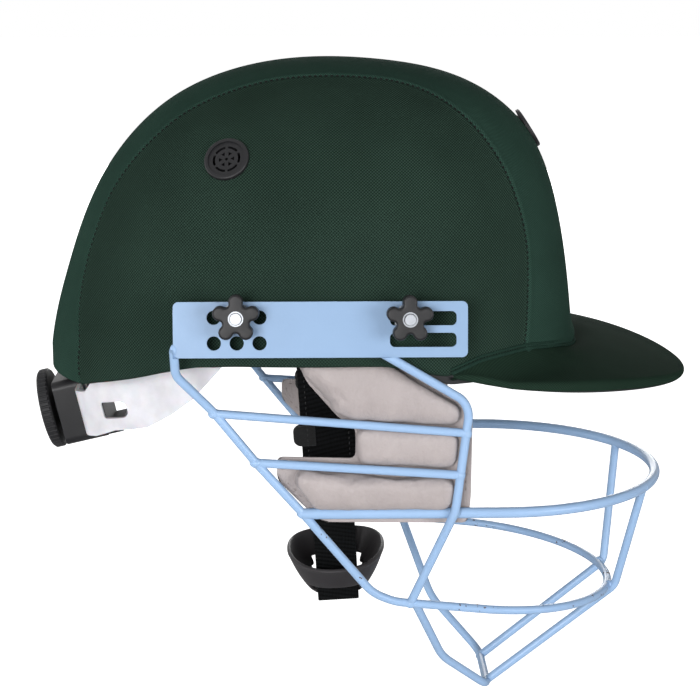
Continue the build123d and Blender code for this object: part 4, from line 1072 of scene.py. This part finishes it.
class HELMET_OT_backing(bpy.types.Operator):
    """Leather sheets that the cheek cushions are sewn on, with their stitches"""

    bl_idname = "helmet.backing"
    bl_label = "Cushion backing"

    def execute(self, context):
        outline = [Vector((x * SHEET_SCALE, 0, z * SHEET_SCALE)) * MM for x, z in SHEET_OUTLINE]
        for side, way in SIDES:
            bm = bmesh.new()
            bm.faces.new([bm.verts.new(point) for point in outline])
            bevelled(bm, list(bm.verts), SHEET_CORNER, 3, "VERTICES")
            bmesh.ops.triangulate(bm, faces=bm.faces)
            bmesh.ops.subdivide_edges(bm, edges=bm.edges, cuts=3, use_grid_fill=True)
            bmesh.ops.beautify_fill(bm, faces=bm.faces, edges=bm.edges)
            made = bmesh.ops.extrude_face_region(bm, geom=list(bm.faces))
            moved = [item for item in made["geom"] if isinstance(item, bmesh.types.BMVert)]
            bmesh.ops.translate(bm, vec=(0, SHEET_WALL * MM, 0), verts=moved)
            bmesh.ops.translate(bm, vec=(0, -SHEET_OUT * MM, 0), verts=bm.verts)
            bmesh.ops.recalc_face_normals(bm, faces=bm.faces)
            softened(bm, 0.5)
            if way < 0:
                mirrored_mesh(bm)
            obj = new_object(f"cheek_backing_{side}", bm, "helmet", "cheek_leather",
                             (f"cheek_sheet_{side}",))
            obj.data.shade_flat()
            self.stitches(side, way, outline)
        return {"FINISHED"}

    @staticmethod
    def stitches(side, way, outline):
        """Row of stitches just inside the edge of a sheet, on both its faces."""
        bm = bmesh.new()
        for start, end in zip(outline, outline[1:] + outline[:1]):
            run = end - start
            turn = math.atan2(run.z, run.x)
            inner = Vector((run.z, 0, -run.x)).normalized() * STITCH_INSET
            size = run.length - 2 * STITCH_END
            count = int(size / STITCH_PITCH)
            for k in range(count):
                along = STITCH_END + size * (k + 0.5) / count
                place = start + run.normalized() * along + inner
                for y in (-SHEET_OUT, -SHEET_OUT + SHEET_WALL):
                    add_bead(bm, (place.x, y * MM, place.z), Matrix.Rotation(-turn, 4, "Y"),
                             STITCH_SIZE)
        if way < 0:
            mirrored_mesh(bm)
        new_object(f"backing_stitches_{side}", bm, "helmet", "stitch")


# Chin strap and cup

# The strap's own frame: how far its foot leans forward, and the middle between its anchors
STRAP_TILT = math.radians(3.2)
STRAP_ANCHOR = Vector((3.0, 0, 23.0))
# The straight run of the strap beside the chin, and the hanger's route above it
STRAP_FOOT, STRAP_TOP = Vector((20.5, -152.1)), Vector((70.5, -20.4))
HANGER_ROUTE = (Vector((79.2, 8.5)), Vector((79.2, -9)))
HANGER_END, WEB_START, TAB_LEVEL, STITCH_LEVEL = -71, -58, -57.5, -26
HANGER_WIDTH, WEB_WIDTH, WEB_WALL, STRAP_LAYER = 25, 20, 1.5, 1.6
TAB_HALF_WIDTH, TAB_HALF_LENGTH, TAB_SHIFT, TAB_CORNER, TAB_WALL = 5.2, 6, 11, 3.8, 1.3


def on_strap(u, v, w=0.0):
    """Place in the strap's frame: u to the wearer's left, v up it, w forward."""
    return (STRAP_ANCHOR + Vector((0, 1, 0)) * u
            + Vector((-math.sin(STRAP_TILT), 0, math.cos(STRAP_TILT))) * v
            + Vector((math.cos(STRAP_TILT), 0, math.sin(STRAP_TILT))) * w)


def rounded_route(corners, radii, steps=8):
    """Route through corners with round bends."""
    route = [corners[0]]
    for k in range(1, len(corners) - 1):
        before = (corners[k - 1] - corners[k]).normalized()
        after = (corners[k + 1] - corners[k]).normalized()
        setback = radii[k - 1] * math.tan((math.pi - before.angle(after)) / 2)
        start, end = corners[k] + before * setback, corners[k] + after * setback
        for t in np.linspace(0, 1, steps):
            route.append(start * (1 - t) ** 2 + corners[k] * 2 * t * (1 - t) + end * t ** 2)
    route.append(corners[-1])
    return route


def ribbon(corners, radii, width, spacing=2.0):
    """Flat strap along a route in the strap's frame, as a bmesh with its thickness."""
    route = np.array([(p.x, p.y, 0) for p in rounded_route(corners, radii)])
    size = np.linalg.norm(np.diff(route, axis=0), axis=1).sum()
    route = resampled(route, np.linspace(0, 1, int(size / spacing) + 2))
    lengths = np.linspace(0, size, len(route))
    ways = np.gradient(route, axis=0)
    ways /= np.linalg.norm(ways, axis=1, keepdims=True)
    half, edge, bevel = WEB_WALL / 2, width / 2, 0.5
    face = [(-edge, -half * 0.5), (-edge + bevel, -half), (-edge / 2, -half), (0, -half),
            (edge / 2, -half), (edge - bevel, -half), (edge, -half * 0.5)]
    section = face + [(-w, -t) for w, t in face] + face[:1]
    rows, flat = [], []
    for place, way, along in zip(route, ways, lengths):
        normal = (way[1], -way[0])
        rows.append([on_strap(place[0] + normal[0] * t, place[1] + normal[1] * t, w)
                     for w, t in section])
        flat.append([(w + (0 if t < 0 else width), along, 0) for w, t in section])
    bm = grid_sheet(metres(rows), metres(flat))
    bmesh.ops.remove_doubles(bm, verts=bm.verts, dist=0.001 * MM)
    rims = [e for e in bm.edges if e.is_boundary]
    bmesh.ops.holes_fill(bm, edges=rims, sides=0)
    bmesh.ops.recalc_face_normals(bm, faces=bm.faces)
    return bm


class HELMET_OT_strap(bpy.types.Operator):
    """Chin strap: stitched hangers, the webbing through the cup, and the leather tabs"""

    bl_idname = "helmet.strap"
    bl_label = "Chin strap"

    def execute(self, context):
        run = (STRAP_TOP - STRAP_FOOT).normalized()
        outside = Vector((run.y, -run.x)) * STRAP_LAYER

        def side_run(v):
            return STRAP_FOOT + run * ((v - STRAP_FOOT.y) / run.y)

        hanger = [*HANGER_ROUTE, STRAP_TOP + outside, side_run(HANGER_END) + outside]
        web = [side_run(WEB_START), STRAP_FOOT]
        web += [Vector((-p.x, p.y)) for p in reversed(web)]
        for side, way in SIDES:
            corners = [Vector((-way * p.x, p.y)) for p in hanger]
            bm = ribbon(corners, (9, 9), HANGER_WIDTH)
            new_object(f"hanger_webbing_{side}", bm, "chin_strap", "webbing",
                       (f"strap_hanger_{side}",))
        new_object("cup_webbing", ribbon(web, (4, 4), WEB_WIDTH), "chin_strap", "webbing",
                   ("chin_webbing",))
        self.tabs(side_run, outside)
        self.thread(side_run, outside)
        return {"FINISHED"}

    @staticmethod
    def tabs(side_run, outside):
        """Leather tabs with round rear corners."""
        bm = bmesh.new()
        normal = outside.normalized()
        along = Vector((-normal.y, normal.x))
        if along.y < 0:
            along = -along
        for way in (-1, 1):
            place = side_run(TAB_LEVEL) + outside * 1.55
            corners = []
            for across, up in ((-1, -1), (1, -1), (1, 1), (-1, 1)):
                flat = place + along * up * TAB_HALF_LENGTH
                w = across * TAB_HALF_WIDTH - TAB_SHIFT
                corners.append(on_strap(way * flat.x, flat.y, w) * MM)
            face = bm.faces.new([bm.verts.new(c) for c in corners])
            rear = sorted(face.verts, key=lambda vertex: vertex.co.x)[:2]
            bevelled(bm, rear, TAB_CORNER, 5, "VERTICES")
        bmesh.ops.solidify(bm, geom=list(bm.faces), thickness=TAB_WALL * MM)
        bmesh.ops.recalc_face_normals(bm, faces=bm.faces)
        softened(bm, 0.35)
        obj = new_object("strap_tab_leather", bm, "chin_strap", "strap_tab", ("strap_tabs",))
        obj.data.shade_flat()

    @staticmethod
    def thread(side_run, outside):
        """Stitches down both borders of each hanger."""
        bm = bmesh.new()
        for way in (-1, 1):
            for k in range(16):
                flat = side_run(STITCH_LEVEL - 2.8 * k) + outside * 1.55
                for w in (-9.5, 9.5):
                    add_bead(bm, on_strap(way * flat.x, flat.y, w) * MM,
                             Matrix.Rotation(way * math.radians(20), 4, "X"),
                             (0.25 * MM, 0.25 * MM, 0.95 * MM))
        new_object("strap_stitches", bm, "chin_strap", "strap_tab")


CUP_BOTTOM, CUP_RIM, CUP_HALF_WIDTH, CUP_HALF_LENGTH, CUP_WALL = -151.0, -130.0, 35.8, 23.8, 2.0
# Shares of the cup's half width, half length and height, from the middle of its bottom outwards
CUP_PROFILE = (
    (0.3, 0.3, 0.0), (0.52, 0.46, 0.01), (0.6, 0.54, 0.06), (0.68, 0.62, 0.18),
    (0.77, 0.72, 0.36), (0.85, 0.82, 0.56), (0.91, 0.9, 0.76), (0.95, 0.95, 0.9),
    (0.985, 0.98, 0.98), (1.0, 1.0, 1.0),
)
# How far the rim dips at the cup's sides, and where the slots for the webbing are
CUP_DIP = 1.2
SLOT_HALF_LENGTH, SLOT_INNER, SLOT_LOW, SLOT_HIGH = 12.4, 14, 0.04, 0.3


def squared(value, power):
    """Sine or cosine bent so that its circle becomes a rounded rectangle."""
    return math.copysign(abs(value) ** power, value)


class HELMET_OT_cup(bpy.types.Operator):
    """Chin cup: a shallow oval bowl with a flared rim and a slot for the strap at each side"""

    bl_idname = "helmet.cup"
    bl_label = "Chin cup"

    def execute(self, context):
        bm = bmesh.new()
        bmesh.ops.create_circle(bm, cap_ends=True, segments=96, radius=1)
        rim = list(bm.edges)
        for k in range(1, len(CUP_PROFILE)):
            made = bmesh.ops.extrude_edge_only(bm, edges=rim)["geom"]
            ring = {item for item in made if isinstance(item, bmesh.types.BMVert)}
            rim = [item for item in made if isinstance(item, bmesh.types.BMEdge)
                   and ring.issuperset(item.verts)]
            bmesh.ops.scale(bm, vec=((k + 1) / k,) * 3, verts=list(ring))
        for vertex in bm.verts:
            turn = math.atan2(vertex.co.y, vertex.co.x)
            row = CUP_PROFILE[round(vertex.co.length) - 1]
            vertex.co = on_strap(*self.place(turn, *row)) * MM
        self.cut_slots(bm)
        bmesh.ops.recalc_face_normals(bm, faces=bm.faces)
        outward(bm, on_strap(0, CUP_RIM, 0) * MM)
        obj = new_object("chin_cup_body", bm, "chin_strap", "cup_plastic", ("chin_cup",))
        add_modifier(obj, "Wall", "SOLIDIFY", thickness=CUP_WALL * MM, offset=0)
        subdivided(obj, 2)
        return {"FINISHED"}

    @staticmethod
    def place(turn, across, along, rise):
        """Place on the bowl, in the strap's frame, at a turn round one line of its profile."""
        power = 2 / (2.9 - 0.6 * rise)
        level = CUP_BOTTOM + CUP_WALL / 2 + rise * (CUP_RIM - CUP_BOTTOM - CUP_WALL)
        return (squared(math.cos(turn), power) * CUP_HALF_WIDTH * across,
                level - CUP_DIP * rise * math.cos(2 * turn),
                squared(math.sin(turn), power) * CUP_HALF_LENGTH * along)

    @staticmethod
    def cut_slots(bm):
        """Delete the faces where the webbing passes through the lower wall."""
        doomed = []
        for face in bm.faces:
            offset = face.calc_center_median() / MM - STRAP_ANCHOR
            w = offset.x * math.cos(STRAP_TILT) + offset.z * math.sin(STRAP_TILT)
            v = -offset.x * math.sin(STRAP_TILT) + offset.z * math.cos(STRAP_TILT)
            rise = (v - CUP_BOTTOM) / (CUP_RIM - CUP_BOTTOM)
            if (abs(w) < SLOT_HALF_LENGTH and abs(offset.y) > SLOT_INNER
                    and SLOT_LOW < rise < SLOT_HIGH):
                doomed.append(face)
        bmesh.ops.delete(bm, geom=doomed, context="FACES")


# Grille

# Place of each bead on one side of the grille, and its stretch along the three axes
WELDS = (
    ((-44.7, 86.0, -18.3), (1.25, 1.0, 1.0)), ((-26.5, 84.8, -41.3), (1.25, 1.0, 1.0)),
    ((-5.5, 81.5, -66.3), (1.25, 1.0, 1.0)), ((68.0, 86.4, -28.0), (1.0, 1.0, 1.2)),
    ((65.4, 86.4, -47.2), (1.0, 1.0, 1.2)), ((63.4, 84.0, -65.5), (1.1, 1.0, 1.1)),
    ((44.2, 69.0, -113.8), (1.3, 1.0, 1.0)), ((155.9, 42.0, -66.3), (1.1, 1.1, 1.0)),
    ((145.0, 18.2, -123.0), (1.1, 1.1, 1.1)), ((85.0, 17.1, -173.0), (1.0, 1.3, 1.0)),
    ((-61.4, 102.4, 13.2), (0.75, 0.8, 1.6)),
)
WIRE_RADIUS = 2.0
# How the rear and front ends of the upper rails move from those of their solids
RAIL_SHIFTS = ((0.7, 0, -1.2), (-0.4, 0, -4.6))
RAIL_END, RAIL_OVERLAP = 5, 3.5


class HELMET_OT_rails(bpy.types.Operator):
    """Upper side rails of the grille, which slope down a little more than their solids"""

    bl_idname = "helmet.rails"
    bl_label = "Upper rails"

    def execute(self, context):
        for side, _ in SIDES:
            points = np.array([v.co for v in NODES[f"upper_rail_{side}"].data.vertices]) / MM
            x = points[:, 0]
            rear = points[x < x.min() + RAIL_END].mean(axis=0) + RAIL_SHIFTS[0]
            front = points[x > x.max() - RAIL_END].mean(axis=0) + RAIL_SHIFTS[1]
            way = (front - rear) / np.linalg.norm(front - rear) * RAIL_OVERLAP
            line = np.linspace(rear - way, front + way, 24)
            new_object(f"upper_rail_bar_{side}", tube(line, WIRE_RADIUS), "helmet",
                       "grille_paint", (f"upper_rail_{side}",))
        return {"FINISHED"}


class HELMET_OT_welds(bpy.types.Operator):
    """Weld beads where the bars of the grille meet, under the same paint"""

    bl_idname = "helmet.welds"
    bl_label = "Weld beads"

    def execute(self, context):
        radius = context.scene.helmet_grille.bead
        bm = bmesh.new()
        for place, stretch in WELDS:
            for way in (-1, 1):
                centre = Vector((place[0], place[1] * way, place[2])) * MM
                made = add_bead(bm, centre, Matrix.Identity(4), [radius * s for s in stretch], 3)
                for vertex in made["verts"]:
                    ripple = noise.noise(vertex.co / (1.7 * MM))
                    vertex.co += (vertex.co - centre) * 0.12 * ripple
        new_object("weld_beads", bm, "helmet", "grille_paint")
        return {"FINISHED"}


# Stage

# Place and size of each lamp in metres, and its power in watts
LAMPS = {
    "Key": ((-0.7, -2.2, 0.4), 0.9, 44), "Fill": ((1.5, -1.7, 0.05), 1.2, 42),
    "Rim": ((0.2, 2.1, 0.3), 1.2, 18), "Rear": ((-2.0, -0.1, 0.25), 1.0, 14),
}
CAMERA_TARGET = (17.5, 0, -8)
FLOOR_HALF, FLOOR_DROP, FLOOR_GLOW = 6, 0.004, 0.93


class HELMET_OT_stage(bpy.types.Operator):
    """Pale floor, soft light and the camera"""

    bl_idname = "helmet.stage"
    bl_label = "Stage"

    def execute(self, context):
        scene = context.scene
        scene.view_settings.view_transform = "Standard"
        stage = scene.helmet_stage
        self.lay_floor(scene, stage)
        self.light_world(scene, stage)
        for name, (place, size, power) in LAMPS.items():
            light = bpy.data.lights.new(name, "AREA")
            light.size = size
            light.energy = power
            lamp = bpy.data.objects.new(name, light)
            lamp.location = place
            lamp.rotation_euler = (-Vector(place)).to_track_quat("-Z", "Y").to_euler()
            scene.collection.objects.link(lamp)
        camera = bpy.data.cameras.new("Camera")
        camera.lens = stage.lens
        camera.sensor_width = 36
        viewer = bpy.data.objects.new("Camera", camera)
        turn, rise = stage.azimuth, stage.elevation
        back = Vector((math.sin(turn) * math.cos(rise), -math.cos(turn) * math.cos(rise),
                       math.sin(rise)))
        viewer.location = Vector(CAMERA_TARGET) * MM + back * stage.distance
        viewer.rotation_euler = (-back).to_track_quat("-Z", "Y").to_euler()
        scene.collection.objects.link(viewer)
        scene.camera = viewer
        return {"FINISHED"}

    @staticmethod
    def lay_floor(scene, stage):
        """Floor that the camera sees nearly white, and on which shadows stay."""
        material, shader = new_material(
            "Pale floor", Roughness=1.0, Specular_IOR_Level=0.0,
            Base_Color=shade(stage.floor_colour), Emission_Color=(1, 1, 1, 1))
        seen = add_node(material, "LightPath").outputs["Is Camera Ray"]
        glow = add_node(material, "Math", (seen, FLOOR_GLOW), operation="MULTIPLY")
        connect(shader, {"Emission Strength": glow})
        bm = bmesh.new()
        bmesh.ops.create_grid(bm, x_segments=2, y_segments=2, size=FLOOR_HALF)
        bmesh.ops.translate(bm, vec=(0, 0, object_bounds()[0].z - FLOOR_DROP), verts=bm.verts)
        mesh = bpy.data.meshes.new("floor")
        bm.to_mesh(mesh)
        bm.free()
        mesh.materials.append(material)
        floor = bpy.data.objects.new("floor", mesh)
        scene.collection.objects.link(floor)
        floor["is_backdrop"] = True

    @staticmethod
    def light_world(scene, stage):
        """World that is white to the camera and in reflections, and lights the helmet faintly."""
        world = bpy.data.worlds.new("Studio")
        scene.world = world
        world.use_nodes = True
        rays = add_node(world, "LightPath").outputs
        seen = add_node(world, "Math", (rays["Is Camera Ray"], rays["Is Transmission Ray"]),
                        operation="MAXIMUM")
        bright = add_node(world, "Math", (seen, rays["Is Glossy Ray"]), operation="MAXIMUM")
        level = add_node(world, "MapRange",
                         {"Value": bright, "To Min": stage.world, "To Max": 1.0})
        connect(world.node_tree.nodes["Background"],
                {"Color": (1, 1, 1, 1), "Strength": level})


OPERATORS = (
    HELMET_OT_solids, HELMET_OT_brow, HELMET_OT_cover, HELMET_OT_peak, HELMET_OT_cushions,
    HELMET_OT_lining, HELMET_OT_backing, HELMET_OT_strap, HELMET_OT_cup, HELMET_OT_rails,
    HELMET_OT_welds, HELMET_OT_stage,
)


class HELMET_PT_panel(bpy.types.Panel):
    """Sizes, colours and steps of the helmet"""

    bl_idname = "HELMET_PT_panel"
    bl_label = "Cricket helmet"
    bl_space_type = "VIEW_3D"
    bl_region_type = "UI"
    bl_category = "Helmet"

    def draw(self, context):
        for name in SETTINGS:
            settings = getattr(context.scene, name)
            for key in settings.__annotations__:
                self.layout.prop(settings, key)
        for operator in OPERATORS:
            self.layout.operator(operator.bl_idname)


SETTINGS = {
    "helmet_cloth": HelmetClothSettings, "helmet_grille": HelmetGrilleSettings,
    "helmet_padding": HelmetPaddingSettings, "helmet_stage": HelmetStageSettings,
}
CLASSES = (*SETTINGS.values(), *OPERATORS, HELMET_PT_panel)


def register():
    for item in CLASSES:
        bpy.utils.register_class(item)
    for name, kind in SETTINGS.items():
        setattr(bpy.types.Scene, name, bpy.props.PointerProperty(type=kind))


def unregister():
    for name in SETTINGS:
        delattr(bpy.types.Scene, name)
    for item in reversed(CLASSES):
        bpy.utils.unregister_class(item)


def main():
    register()
    make_finishes(bpy.context.scene)
    bpy.ops.helmet.solids()
    bpy.ops.helmet.brow()
    bpy.ops.helmet.cover()
    bpy.ops.helmet.peak()
    bpy.ops.helmet.cushions()
    bpy.ops.helmet.lining()
    bpy.ops.helmet.backing()
    bpy.ops.helmet.strap()
    bpy.ops.helmet.cup()
    bpy.ops.helmet.rails()
    bpy.ops.helmet.welds()
    bpy.ops.helmet.stage()


if __name__ == "__main__":
    main()
